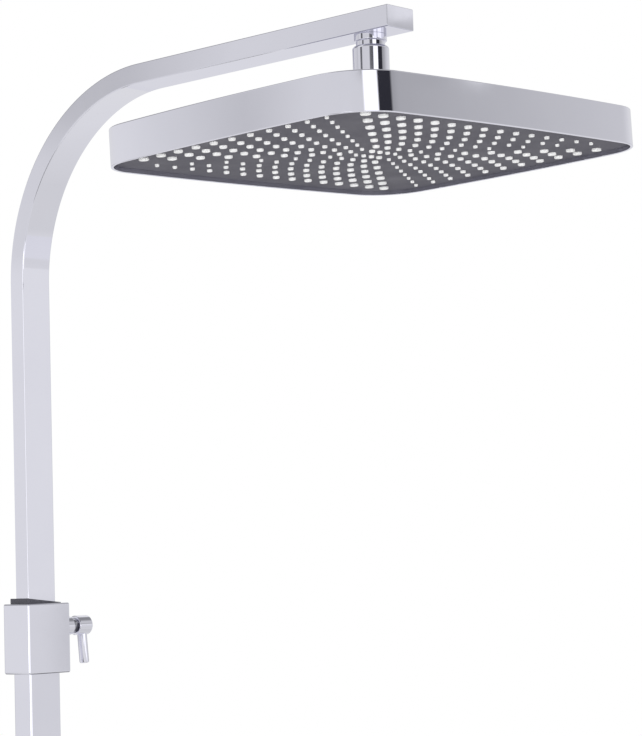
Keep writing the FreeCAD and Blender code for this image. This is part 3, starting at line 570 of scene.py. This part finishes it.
outside = arm_sweep(TUBE_W, TUBE_D, TUBE_EDGE)
inside = arm_sweep(TUBE_W - 2 * TUBE_WALL, TUBE_D - 2 * TUBE_WALL, TUBE_EDGE)
lower_size = (LOWER_W, LOWER_D, LOWER_EDGE)
lower_bore = (LOWER_W - 2 * LOWER_WALL, LOWER_D - 2 * LOWER_WALL, LOWER_BORE_EDGE)
lower_seat = (LOWER_W + 2 * FIT, LOWER_D + 2 * FIT, LOWER_EDGE)
clamp_size = (CLAMP_W, CLAMP_D, CLAMP_EDGE)
clip_size = (LOWER_W + 2 * COLLAR_WALL, LOWER_D + 2 * COLLAR_WALL, CLAMP_EDGE)
clip_half = COLLAR_H / 2
piece("riser_and_arm", np.concatenate([outside, inside[::-1]]), "chrome", "upper_column", "arm_tube")
piece("arm_end", end_cap(), "chrome", "upper_column", "arm_end_cap", loop=False)
lower_shape = hollow_bar(lower_size, lower_bore, LOWER_FOOT, LOWER_TOP)
piece("lower_riser", lower_shape, "chrome", "wall_column", "lower_tube")
clamp_rims = (CLAMP_EDGE, CLAMP_FOOT_SOFT, CLAMP_FORWARD)
clamp_shape = hollow_bar(clamp_size, lower_seat, CLAMP_FOOT, CLAMP_TOP, *clamp_rims)
piece("clamp_housing", clamp_shape, "chrome", "wall_column", "clamp_block")
piece("slide_bush", sloped_bush(), "black_plastic", "wall_column", "top_bush")
clip_shape = hollow_bar(clip_size, lower_seat, -clip_half, clip_half, CLAMP_EDGE, CLAMP_EDGE)
piece("wall_clip", clip_shape, "chrome", "wall_column", "bracket_collar")


# Clamp knob. A half section lists its corners as radius and height, and then the rounding of each in turn

def sleeve_profile():
    """Half section of the sleeve: root in the block and a barrel with soft rims."""
    bore = SPINDLE_R + FIT
    root = SLEEVE_START - SLEEVE_ROOT_L
    corners = [(bore, root), (SLEEVE_ROOT_R, root), (SLEEVE_ROOT_R, SLEEVE_START), (SLEEVE_R, SLEEVE_START),
               (SLEEVE_R, SLEEVE_END), (bore, SLEEVE_END)]
    return soft_path(corners, [0.1, 0.1, 0.1, 0.35, 0.5, 0.1], hug=FINE_HUG)


def nose_profile():
    """Half section of the sleeve's nose, on which the knob turns: a plain tube with a soft outer end."""
    bore = SPINDLE_R + FIT
    corners = [(bore, SLEEVE_END), (SLEEVE_NOSE_R, SLEEVE_END), (SLEEVE_NOSE_R, NOSE_END), (bore, NOSE_END)]
    return soft_path(corners, [0.05, 0.05, 0.3, 0.1], hug=FINE_HUG)


def knob_profile():
    """Half section of the knob: soft outer rims and the stepped bore for nose and spindle."""
    start, seat, bore = KNOB_START, SLEEVE_NOSE_R + FIT, SPINDLE_R + FIT
    nose, spindle = NOSE_END + FREE, KNOB_END - KNOB_END_T
    corners = [(seat, start), (KNOB_R, start), (KNOB_R, KNOB_END), (AXLE_R, KNOB_END), (AXLE_R, spindle),
               (bore, spindle), (bore, nose), (seat, nose)]
    return soft_path(corners, [0.3, 0.9, 1.1, 0.05, 0.1, 0.1, 0.1, 0.1], hug=FINE_HUG)


def lever():
    """Round lever: rings along an axis that leans outward, with a quarter-round rim at its lower end."""
    length, soft = LEVER_L - KNOB_R + LEVER_ROOT, LEVER_SOFT
    turn = np.linspace(0, QUARTER, 7)
    down = np.concatenate([[0.0, BROKEN], length - soft + soft * np.sin(turn)])
    size = np.concatenate([[LEVER_R - BROKEN, LEVER_R], LEVER_R - soft * (1 - np.cos(turn))])
    rings = lathe(np.stack([size, -down], axis=-1), segments=48)
    lean = np.array(Matrix.Rotation(math.radians(-LEVER_LEAN), 3, "Y"))
    return rings @ lean.T + np.array([KNOB_END - LEVER_INSET, RISER_Y, KNOB_Z - KNOB_R + LEVER_ROOT])


piece("knob_sleeve", along_x(lathe(sleeve_profile())), "chrome", "wall_column", "clamp_sleeve")
# The neck's chrome has painted shade: dark blotches stand in for the shade and reflections down in the
# groove.
piece("knob_neck", along_x(lathe(nose_profile())), "groove", "wall_column", "clamp_sleeve", slot="chrome")
piece("knob_body", along_x(lathe(knob_profile())), "chrome", "clamp_knob", "knob")
piece("knob_lever", lever(), "chrome", "clamp_knob", "lever_pin", loop=False)


# Outlet, swivel and ball joint

def spigot_profile():
    """Half section of the outlet: root in the arm, collar under it, and the neck inside the swivel."""
    corners = [(SPIGOT_BORE, SPIGOT_TOP), (SPIGOT_ROOT_R, SPIGOT_TOP), (SPIGOT_ROOT_R, ARM_BOTTOM),
               (SPIGOT_COLLAR_R, ARM_BOTTOM), (SPIGOT_COLLAR_R, COLLAR_FOOT), (SPIGOT_R, COLLAR_FOOT),
               (SPIGOT_R, SPIGOT_FOOT), (SPIGOT_BORE, SPIGOT_FOOT)]
    return soft_path(corners, [0.1, 0.1, 0.1, 0.2, 0.6, 0.2, 0.3, 0.1], hug=FINE_HUG)


def swivel_profile():
    """Half section of the swivel: round shoulder, barrel, thread, chamber and lip."""
    lip, thread = SPIGOT_R + FIT, STEM_THREAD_R + FIT
    corners = [(lip, SWIVEL_TOP), (SWIVEL_R, SWIVEL_TOP), (SWIVEL_R, SWIVEL_FOOT), (thread, SWIVEL_FOOT),
               (thread, CHAMBER_FOOT), (CHAMBER_R, CHAMBER_FOOT), (CHAMBER_R, LIP_FOOT), (lip, LIP_FOOT)]
    return soft_path(corners, [0.1, 2.0, 0.8, 0.1, 0.1, 0.1, 0.1, 0.1], hug=0.04)


def ball_arc(radius, start, end, count):
    """Points of a circle in radius and height, start and end counted in degrees down from the top."""
    angle = np.radians(np.linspace(start, end, count))
    return radius * np.stack([np.sin(angle), np.cos(angle)], axis=-1)


def stem_profile():
    """Half section of the hollow stem: threaded head, neck, and the ball's circle down to the bore."""
    start = math.degrees(math.asin(STEM_R / BALL_R))
    end = 180.0 - math.degrees(math.asin(STEM_BORE / BALL_R))
    ball = ball_arc(BALL_R, start, end, 28) + np.array([0.0, BALL[2]])
    threaded = [(STEM_BORE, CHAMBER_FOOT), (STEM_THREAD_R, CHAMBER_FOOT), (STEM_THREAD_R, SWIVEL_FOOT)]
    return np.concatenate([threaded, [(STEM_R, SWIVEL_FOOT)], ball])


def cup_profile():
    """Half section of the socket: flange, root and floor outside, the ball's hollow inside."""
    seat, floor = CROWN + FLANGE_LIFT, -HOLLOW_R - CUP_FLOOR_T
    corners = [(SOCKET_BORE, floor), (SOCKET_ROOT_R, floor), (SOCKET_ROOT_R, seat), (SOCKET_R, seat),
               (SOCKET_R, 0.0), (HOLLOW_R, 0.0)]
    shell = soft_path(corners, [0.1, 0.3, 0.2, 0.4, 0.3, 0.1], hug=FINE_HUG)
    return np.concatenate([shell, ball_arc(HOLLOW_R, 90.0, 160.0, 16)[1:]])


def ring_nut_profile():
    """Half section of the ring nut: a straight side, a quarter-round upper rim and the ball's hollow."""
    rim = ball_arc(NUT_SOFT, 90.0, 0.0, 7) + np.array([SOCKET_R - NUT_SOFT, NUT_H - NUT_SOFT])
    mouth = math.degrees(math.acos(NUT_H / HOLLOW_R))
    foot = [(SOCKET_R - BROKEN, 0.0), (SOCKET_R, BROKEN)]
    return np.concatenate([foot, rim, ball_arc(HOLLOW_R, mouth, 90.0, 12)])


piece("outlet_collar", on_outlet(lathe(spigot_profile())), "chrome", "upper_column", "outlet_spigot")
piece("swivel_sleeve", on_outlet(lathe(swivel_profile())), "chrome", "swivel", "swivel_body")
piece("swivel_stem", on_outlet(lathe(stem_profile(), segments=64)), "chrome", "swivel", "ball_stem")
piece("ball_socket", leaned(lathe(cup_profile())), "chrome", "head", "socket_cup")
piece("ball_ring_nut", leaned(lathe(ring_nut_profile())), "chrome", "head", "socket_nut")


# Shower head

def head_pan():
    """The head's pan: outline rings carried along its half section of inset and height.

    The section climbs from the lip up the wall, over the shoulder and along the crown. There the outline
    turns evenly into the round hub hole, and the section goes back along the inside.
    """
    beyond = HEAD_SHOULDER + CROWN_FLAT
    corners = [(HEAD_WALL, RIM_FOOT), (HAIR, RIM_FOOT), (HAIR, RIM_TOP), (HEAD_SHOULDER, CROWN),
               (beyond, CROWN), (beyond, CROWN_UNDER), (HEAD_SHOULDER, CROWN_UNDER),
               (HEAD_WALL, RIM_TOP - HEAD_WALL)]
    steps = 5
    section = soft_path(corners, [0.3, 0.4, 0.7, 90.0, 0.1, 0.1, 1.0, 0.1], steps, hug=0.08)
    corner_rings = steps + 3
    outside_rings, hidden_rings = 4 * corner_rings, 2 * corner_rings
    wall = at_heights(head_rings(section[:, 0]), section[:, 1])
    edge = head_rings(np.array([HEAD_SHOULDER]))[0]
    angle = np.arctan2(edge[:, 1], edge[:, 0])
    hole = (SOCKET_ROOT_R + FIT) * np.stack([np.cos(angle), np.sin(angle)], axis=-1)
    share = np.array([0.4, 0.75, 0.97, 1.0, 1.0, 0.5])[:, None, None]
    crown = at_heights(edge * (1 - share) + hole * share,
                       [CROWN, CROWN, CROWN, CROWN - FIT, CROWN_UNDER, CROWN_UNDER])
    return np.concatenate([wall[:outside_rings], crown, wall[outside_rings + hidden_rings:]])


def fan_row(across, start, end, count, large):
    """One straight row of nozzles: even steps from start to end, diameters falling to the small one."""
    share = np.linspace(0, 1, count)
    return np.stack([-start + share * (start + end), np.full(count, -across),
                     large + share * (NOZZLE_SMALL - large)], axis=-1)


def fan(outer, inner, counts):
    """Rows of one fan: distance across, start and end step evenly from the outer row to the inner one."""
    steps = np.linspace(outer, inner, len(counts))
    large = NOZZLE_LARGE - NOZZLE_ROW_STEP * np.arange(len(counts))
    return np.concatenate([fan_row(*steps[n], counts[n], large[n]) for n in range(len(counts))])


def nozzle_field():
    """Every nozzle as x, y and diameter.

    They are the front fan, the right fan turned a quarter, and both again turned half round.
    """
    front = fan(np.array([HEAD_D, HEAD_W, HEAD_W]) / 2 - FRONT_MARGINS, FRONT_INNER, FRONT_COUNTS)
    core = fan_row(*CORE_ROW, CORE_COUNT, NOZZLE_LARGE - NOZZLE_ROW_STEP * len(FRONT_COUNTS))
    right = fan(np.array([HEAD_W, HEAD_D, HEAD_D]) / 2 - SIDE_MARGINS, SIDE_INNER, SIDE_COUNTS)
    right = np.stack([-right[:, 1], right[:, 0], right[:, 2]], axis=-1)
    half = np.concatenate([front, core, right])
    return np.concatenate([half, half * np.array([-1, -1, 1])])


def nozzle_tips():
    """Short tubes with a soft mouth, one for each nozzle: rings of radius share times the nozzle's radius."""
    field = nozzle_field()
    share = np.array([NOZZLE_BORE, NOZZLE_BORE, NOZZLE_LIP, 1.0, 1.0])
    level = np.array([MAT_FOOT, NOZZLE_FOOT + RIM_HOLD, NOZZLE_FOOT, NOZZLE_FOOT + NOZZLE_SOFT, MAT_FOOT])
    angle = np.arange(NOZZLE_SIDES) * TURN / NOZZLE_SIDES
    radius = field[:, 2, None, None] / 2 * share[None, :, None]
    x = field[:, 0, None, None] + radius * np.cos(angle)
    y = field[:, 1, None, None] + radius * np.sin(angle)
    return np.stack([x, y, np.broadcast_to(level[None, :, None], x.shape)], axis=-1)


def nozzle_sheet():
    """The mat behind the face: the head's outline between two heights."""
    inset = HEAD_WALL + SLIP
    return at_heights(head_rings(np.array([inset, inset])), [MAT_FOOT, MAT_TOP])


piece("head_pan", leaned(head_pan()), "chrome", "head", "head_shell", crease=40.0)
piece("nozzle_tips", leaned(nozzle_tips()), "white_silicone", "head", "nozzle_mat", crease=50.0)
piece("nozzle_sheet", leaned(nozzle_sheet()), "white_silicone", "head", "nozzle_mat", loop=False)


# Wall bracket and inlet

def wall_stem_profile():
    """Half section of the stem between wall foot and collar, with a pin at each end."""
    back = RISER_Y + LOWER_D / 2 + COLLAR_WALL
    first, last = back - STEM_PIN_L, STEM_PIN_L - FOOT_T
    pin_edge = STEM_PIN_R - RIM_HOLD
    near_pin = [(pin_edge, first), (STEM_PIN_R, first + RIM_HOLD), (STEM_PIN_R, back)]
    shaft = [(WALL_STEM_R, back), (WALL_STEM_R, back + BROKEN), (WALL_STEM_R, -FOOT_T - BROKEN),
             (WALL_STEM_R, -FOOT_T)]
    return near_pin + shaft + [(STEM_PIN_R, -FOOT_T), (STEM_PIN_R, last - RIM_HOLD), (pin_edge, last)]


def union_rings():
    """Six-sided union nut: chamfered hexagon rings outside, round ones down passage, relief and thread."""
    corner, flat = UNION_FLATS / math.sqrt(3), UNION_FLATS / 2
    past = corner + BROKEN
    foot = [(flat - BROKEN, UNION_FOOT), (flat + RIM_HOLD, UNION_FOOT), (corner, UNION_FOOT + UNION_CHAMFER),
            (past, UNION_FOOT + UNION_SHOULDER)]
    top = [(past, UNION_TOP - UNION_SHOULDER), (corner, UNION_TOP - UNION_CHAMFER),
           (flat + RIM_HOLD, UNION_TOP), (flat - BROKEN, UNION_TOP)]
    passage = [(UNION_PASSAGE_R + RIM_HOLD, UNION_TOP), (UNION_PASSAGE_R, UNION_TOP - RIM_HOLD),
               (UNION_PASSAGE_R, UNION_LIP_FOOT)]
    relief = [(UNION_RELIEF_R, UNION_LIP_FOOT), (UNION_RELIEF_R, UNION_SEAT)]
    thread = [(UNION_THREAD_R, UNION_SEAT), (UNION_THREAD_R, UNION_FOOT + UNION_MOUTH),
              (UNION_THREAD_R + UNION_MOUTH, UNION_FOOT)]
    outside = nut_rings(UNION_FLATS, np.array(foot + top))
    return on_riser(np.concatenate([outside, lathe(passage + relief + thread, segments=96)]))


stem_shape = along_y(lathe(wall_stem_profile(), segments=64))
piece("wall_stem", stem_shape, "chrome", "wall_column", "wall_post", loop=False)
piece("union_hexagon", union_rings(), "chrome", "union", "union_nut", crease=24.0)


# Studio

# Floor, in metres: height, radius, middle and number of sides, span of its fading out, level in the metal
FLOOR_Z, FLOOR_R, FLOOR_Y, FLOOR_SIDES = -0.26, 2.4, -0.3, 96
FADE_START, FADE_END, FLOOR_LEVEL = 0.8, 2.2, 0.8


def studio_floor():
    """A pale floor disc below the object: one ring of points about the object's middle, filled."""
    angle = np.arange(FLOOR_SIDES) * TURN / FLOOR_SIDES
    points = FLOOR_R * np.stack([np.cos(angle), np.sin(angle), np.zeros(FLOOR_SIDES)], axis=-1)
    mesh = bpy.data.meshes.new("studio_floor")
    mesh.from_pydata((points + np.array([0.0, FLOOR_Y, FLOOR_Z])).tolist(), [], [list(range(FLOOR_SIDES))])
    made = bpy.data.objects.new("studio_floor", mesh)
    bpy.context.scene.collection.objects.link(made)
    return made


# Darker places on the floor that only the metal mirrors: middle x and y, half sizes, even share, depth.
# In turn they draw the arm's lower edge, the bend's edge and the block's foot, and grey the knob and the bend
FLOOR_SHADES = [(0.0, 0.52, 0.34, 0.085, 0.7, 0.68), (-0.95, -0.55, 0.75, 0.42, 0.75, 0.6),
                (0.366, -0.1, 0.045, 0.5, 0.7, 0.58), (0.48, -0.15, 0.15, 0.5, 0.5, 0.1),
                (0.95, -1.2, 1.6, 1.3, 0.45, 0.09)]


def floor_finish():
    """Matt pale floor that keeps the shadow.

    For the camera it fades to white towards its rim. In the metal it shows an even pale grey with darker
    places, each fading out with its elliptic distance.
    """
    m = Nodes("pale_floor")
    m.colour(m.tint(m.noise(6.0), (0.8, 0.8, 0.8), (0.84, 0.84, 0.84)))
    m.constant(Roughness=0.9, Specular_IOR_Level=0.1)
    place = m.add("ShaderNodeSeparateXYZ")
    m.join(m.place, place.inputs["Vector"])

    def distance(x, y, half_x, half_y):
        across = m.combine("MULTIPLY", m.combine("SUBTRACT", place.outputs["X"], x), 1.0 / half_x)
        along = m.combine("MULTIPLY", m.combine("SUBTRACT", place.outputs["Y"], y), 1.0 / half_y)
        squares = m.combine("ADD", m.combine("POWER", across, 2.0), m.combine("POWER", along, 2.0))
        return m.combine("SQRT", squares)

    rim = m.span(distance(0.0, FLOOR_Y, 1.0, 1.0), 0.0, 1.0, FADE_START, FADE_END)
    mirrored = FLOOR_LEVEL
    for x, y, half_x, half_y, even, depth in FLOOR_SHADES:
        darker = m.span(distance(x, y, half_x, half_y), depth, 0.0, even, 1.0)
        mirrored = m.combine("SUBTRACT", mirrored, darker)
    path = m.add("ShaderNodeLightPath")
    shown = m.combine("MAXIMUM", path.outputs["Is Camera Ray"], path.outputs["Is Transmission Ray"])
    share = m.combine("MAXIMUM", m.combine("MULTIPLY", shown, rim), path.outputs["Is Glossy Ray"])
    glow = m.add("ShaderNodeEmission")
    m.join(m.combine("MAXIMUM", shown, mirrored), glow.inputs["Strength"])
    mix = m.add("ShaderNodeMixShader")
    m.join(share, mix.inputs["Fac"])
    m.join(m.shader.outputs["BSDF"], mix.inputs[1])
    m.join(glow.outputs["Emission"], mix.inputs[2])
    m.join(mix.outputs["Shader"], m.tree.nodes["Material Output"].inputs["Surface"])
    return m.material


studio_floor().data.materials.append(floor_finish())

# Levels of the studio's walls round the compass, as degrees from +X and level: lit panels, gaps and greys.
# Each ring is named for what mirrors its band of heights. COOL is how much bluer than grey a level is
COOL, LEVER_COOL = 0.008, 0.03
LEVER_RING = [(0, 0.5), (12, 0.755), (64, 0.755), (72, 0.4), (92, 0.5), (110, 0.6), (150, 0.52), (185, 0.6),
              (214, 0.68), (228, 0.5), (242, 0.5), (249, 1.15), (264, 1.2), (267, 0.75), (273, 0.75),
              (276, 1.25), (303, 1.2), (307, 0.8), (316, 0.75), (319, 1.0), (338, 0.5), (360, 0.5)]
RIGHT_BACK = [(0, 0.6), (20, 0.6), (30, 0.8), (62, 0.8), (72, 0.5), (110, 0.5), (119, 0.8)]
EDGE_PANELS = [(188, 0.8), (190, 2.5), (217, 2.5), (219, 0.815), (248, 0.815), (251, 1.4), (264, 1.4),
               (267, 0.815), (273, 0.815), (276, 1.5), (296, 1.5), (301, 0.815)]
RIGHT_FRONT = [(320, 0.8), (330, 0.8), (338, 0.6), (360, 0.6)]
LOWER_RING = [*RIGHT_BACK, *EDGE_PANELS, (304, 0.735), (316, 0.735), *RIGHT_FRONT]
BLOCK_RING = [*RIGHT_BACK, *EDGE_PANELS, (304, 0.745), (316, 0.745), *RIGHT_FRONT]
BLOCK_DARK = [*RIGHT_BACK, *EDGE_PANELS, (304, 0.64), (316, 0.64), *RIGHT_FRONT]
RISER_RING = [(0, 0.6), (20, 0.6), (30, 0.8), (194, 0.8), (196, 1.7), (212, 1.7), (214, 0.82), (314, 0.82),
              (330, 0.8), (338, 0.6), (360, 0.6)]
PAN_RING = [(0, 0.76), (42, 0.74), (100, 0.78), (126, 0.78), (132, 0.7), (138, 0.6), (141, 0.67),
            (143.5, 0.73), (184, 0.73), (236.5, 0.73), (239.5, 1.3), (265.5, 1.3), (268, 0.03), (294.5, 0.03),
            (299, 0.76), (360, 0.76)]
ARM_SIDE = [(0, 0.76), (42, 0.74), (100, 0.72), (126, 0.66), (130.5, 0.575), (132.5, 0.57), (133.5, 0.665),
            (135, 0.743), (136.7, 0.719), (138, 0.703)]
SWIVEL_STRIPES = [(151.5, 0.73), (154.5, 0.12), (164.6, 0.12), (167.6, 0.7), (211.7, 0.72), (217, 0.16),
                  (236, 0.1)]
CORNER_PANEL = [(239.5, 1.3), (265.5, 1.3), (268, 0.03), (294.5, 0.03), (299, 0.37), (313, 0.44)]
END_LIGHT = [(317.6, 0.46), (319, 0.98), (320.6, 0.53)]
HEAD_FRONT = [(330, 0.63), (345, 0.7), (360, 0.76)]
ARM_RING = [*ARM_SIDE, (184, 0.73), (236.5, 0.73), *CORNER_PANEL, *HEAD_FRONT]
SWIVEL_RING = [*ARM_SIDE, *SWIVEL_STRIPES, *CORNER_PANEL, *HEAD_FRONT]
END_RING = [*ARM_SIDE, *SWIVEL_STRIPES, *CORNER_PANEL, *END_LIGHT, *HEAD_FRONT]
# Above the lever's ring each ring fades in over a span of the sine of elevation and hides the one before it
RINGS = [(LOWER_RING, -0.11, -0.08), (BLOCK_RING, -0.045, -0.0438), (RISER_RING, -0.0144, -0.0126),
         (PAN_RING, 0.12, 0.131), (ARM_RING, 0.165, 0.192), (SWIVEL_RING, 0.1973, 0.1987),
         (END_RING, 0.2206, 0.222)]
# Degrees over which the block's light front turns to its darker level
BLOCK_TURNS_DARK = (310.1, 310.75)
# The ceiling: levels by sine of elevation in front and by angle at the back, and where each takes over
FRONT_CEILING = [(0.0, 0.62), (0.52, 0.62), (0.62, 0.42), (0.7, 0.28), (1.0, 0.28)]
BACK_CEILING = [(0, 0.85), (60, 0.85), (75, 0.3), (120, 0.3), (135, 0.85), (360, 0.85)]
CEILING_STARTS, BACK_STARTS = (0.235, 0.3), (0.1, 0.35)
# What matt surfaces get from the world, and what the camera sees of it
SOFT_LIGHT, WHITE = (0.7, 0.7, 0.7, 1), (1, 1, 1, 1)
DEGREES = 360.0


def level_ramp(tree, stops, whole, value, cool=COOL):
    """Ramp through levels at places counted up to a whole, a touch cooler than grey."""
    ramp = tree.nodes.new("ShaderNodeValToRGB")
    made = ramp.color_ramp.elements
    for end, (place, level) in ((made[0], stops[0]), (made[1], stops[-1])):
        end.position = place / whole
        end.color = (level, level, level + cool, 1)
    for place, level in stops[1:-1]:
        made.new(place / whole).color = (level, level, level + cool, 1)
    tree.links.new(value, ramp.inputs["Fac"])
    return ramp.outputs["Color"]


def studio_world():
    """Studio walls by direction: rings of levels one above the other, and a ceiling darker in front.

    The camera sees plain white, metal and glass see the walls, and matt surfaces get an even soft light.
    """
    world = bpy.data.worlds.new("studio")
    bpy.context.scene.world = world
    world.use_nodes = True
    tree = world.node_tree
    tree.nodes.clear()
    add, join = tree.nodes.new, tree.links.new

    def math_node(kind, first, second):
        node = add("ShaderNodeMath")
        node.operation = kind
        for place, value in enumerate((first, second)):
            if isinstance(value, float):
                node.inputs[place].default_value = value
            else:
                join(value, node.inputs[place])
        return node.outputs[0]

    def blend(share, first, second):
        node = add("ShaderNodeMix")
        node.data_type = "RGBA"
        join(share, node.inputs["Factor"])
        for socket, value in ((node.inputs[6], first), (node.inputs[7], second)):
            if isinstance(value, tuple):
                socket.default_value = value
            else:
                join(value, socket)
        return node.outputs[2]

    def step(value, low, high):
        node = add("ShaderNodeMapRange")
        node.interpolation_type = "SMOOTHSTEP"
        node.inputs["From Min"].default_value = low
        node.inputs["From Max"].default_value = high
        join(value, node.inputs["Value"])
        return node.outputs["Result"]

    way = add("ShaderNodeSeparateXYZ")
    join(add("ShaderNodeTexCoord").outputs["Generated"], way.inputs["Vector"])
    turn = math_node("MULTIPLY", math_node("ARCTAN2", way.outputs["Y"], way.outputs["X"]), 1.0 / TURN)
    angle = math_node("MODULO", math_node("ADD", turn, 1.0), 1.0)
    height = way.outputs["Z"]
    walls = level_ramp(tree, LEVER_RING, DEGREES, angle, LEVER_COOL)
    for stops, low, high in RINGS:
        wall = level_ramp(tree, stops, DEGREES, angle)
        if stops is BLOCK_RING:
            dark = level_ramp(tree, BLOCK_DARK, DEGREES, angle)
            wall = blend(step(angle, *(place / DEGREES for place in BLOCK_TURNS_DARK)), wall, dark)
        walls = blend(step(height, low, high), walls, wall)
    in_front = level_ramp(tree, FRONT_CEILING, 1.0, height)
    at_back = level_ramp(tree, BACK_CEILING, DEGREES, angle)
    ceiling = blend(step(way.outputs["Y"], *BACK_STARTS), in_front, at_back)
    room = blend(step(height, *CEILING_STARTS), walls, ceiling)
    path = add("ShaderNodeLightPath")
    mirror = math_node("MAXIMUM", path.outputs["Is Glossy Ray"], path.outputs["Is Transmission Ray"])
    light = blend(mirror, SOFT_LIGHT, room)
    shown = blend(path.outputs["Is Camera Ray"], light, WHITE)
    glow = add("ShaderNodeBackground")
    join(shown, glow.inputs["Color"])
    join(glow.outputs["Background"], add("ShaderNodeOutputWorld").inputs["Surface"])


studio_world()


def facing(back, place):
    """Matrix of something at a place whose own Z points along back, with its X level."""
    across = np.cross([0, 0, 1.0], back)
    across /= np.linalg.norm(across)
    above = np.cross(back, across)
    rows = np.column_stack([across, above, back, place])
    return Matrix(np.vstack([rows, [0, 0, 0, 1]]).tolist())


def soft_lamp(name, place, aim, size, power):
    """A square area lamp that points from its place to its aim and isn't mirrored in the metal."""
    lamp = bpy.data.lights.new(name, "AREA")
    lamp.shape = "SQUARE"
    lamp.size = size
    lamp.energy = power
    made = bpy.data.objects.new(name, lamp)
    away = np.array(place) - np.array(aim)
    made.matrix_world = facing(away / np.linalg.norm(away), place)
    made.visible_glossy = False
    made.visible_camera = False
    bpy.context.scene.collection.objects.link(made)


LAMP_AIM = (0, -0.3, 0.4)
soft_lamp("lamp_left", (-2.2, -2.0, 0.5), LAMP_AIM, size=1.6, power=60.0)
soft_lamp("lamp_right", (2.4, -2.2, 2.0), LAMP_AIM, size=1.8, power=45.0)

# Camera: turn, tilt and roll in degrees, place in metres, lens and sensor in millimetres
CAMERA_TURN, CAMERA_TILT, CAMERA_ROLL = -46.87, 4.59, -1.60
CAMERA_PLACE = (-1.19881, -1.49158, 0.22986)
LENS, SENSOR, FAR_CLIP = 116.93, 36.0, 50.0


def photograph_camera():
    """Camera at the photograph's place: turned about Z, tilted up, then rolled about its line of sight."""
    turn, tilt, roll = np.radians([CAMERA_TURN, CAMERA_TILT, CAMERA_ROLL])
    axes = np.array(Matrix.Rotation(roll, 3, "Y")) @ np.array(Matrix.Rotation(-tilt, 3, "X"))
    axes = axes @ np.array(Matrix.Rotation(-turn, 3, "Z"))
    right, ahead, above = axes
    camera = bpy.data.cameras.new("camera")
    camera.sensor_width = SENSOR
    camera.lens = LENS
    camera.clip_end = FAR_CLIP
    made = bpy.data.objects.new("camera", camera)
    rows = np.column_stack([right, above, -ahead, CAMERA_PLACE])
    made.matrix_world = Matrix(np.vstack([rows, [0, 0, 0, 1]]).tolist())
    bpy.context.scene.collection.objects.link(made)
    bpy.context.scene.camera = made


photograph_camera()
bpy.context.scene.view_settings.view_transform = "Standard"
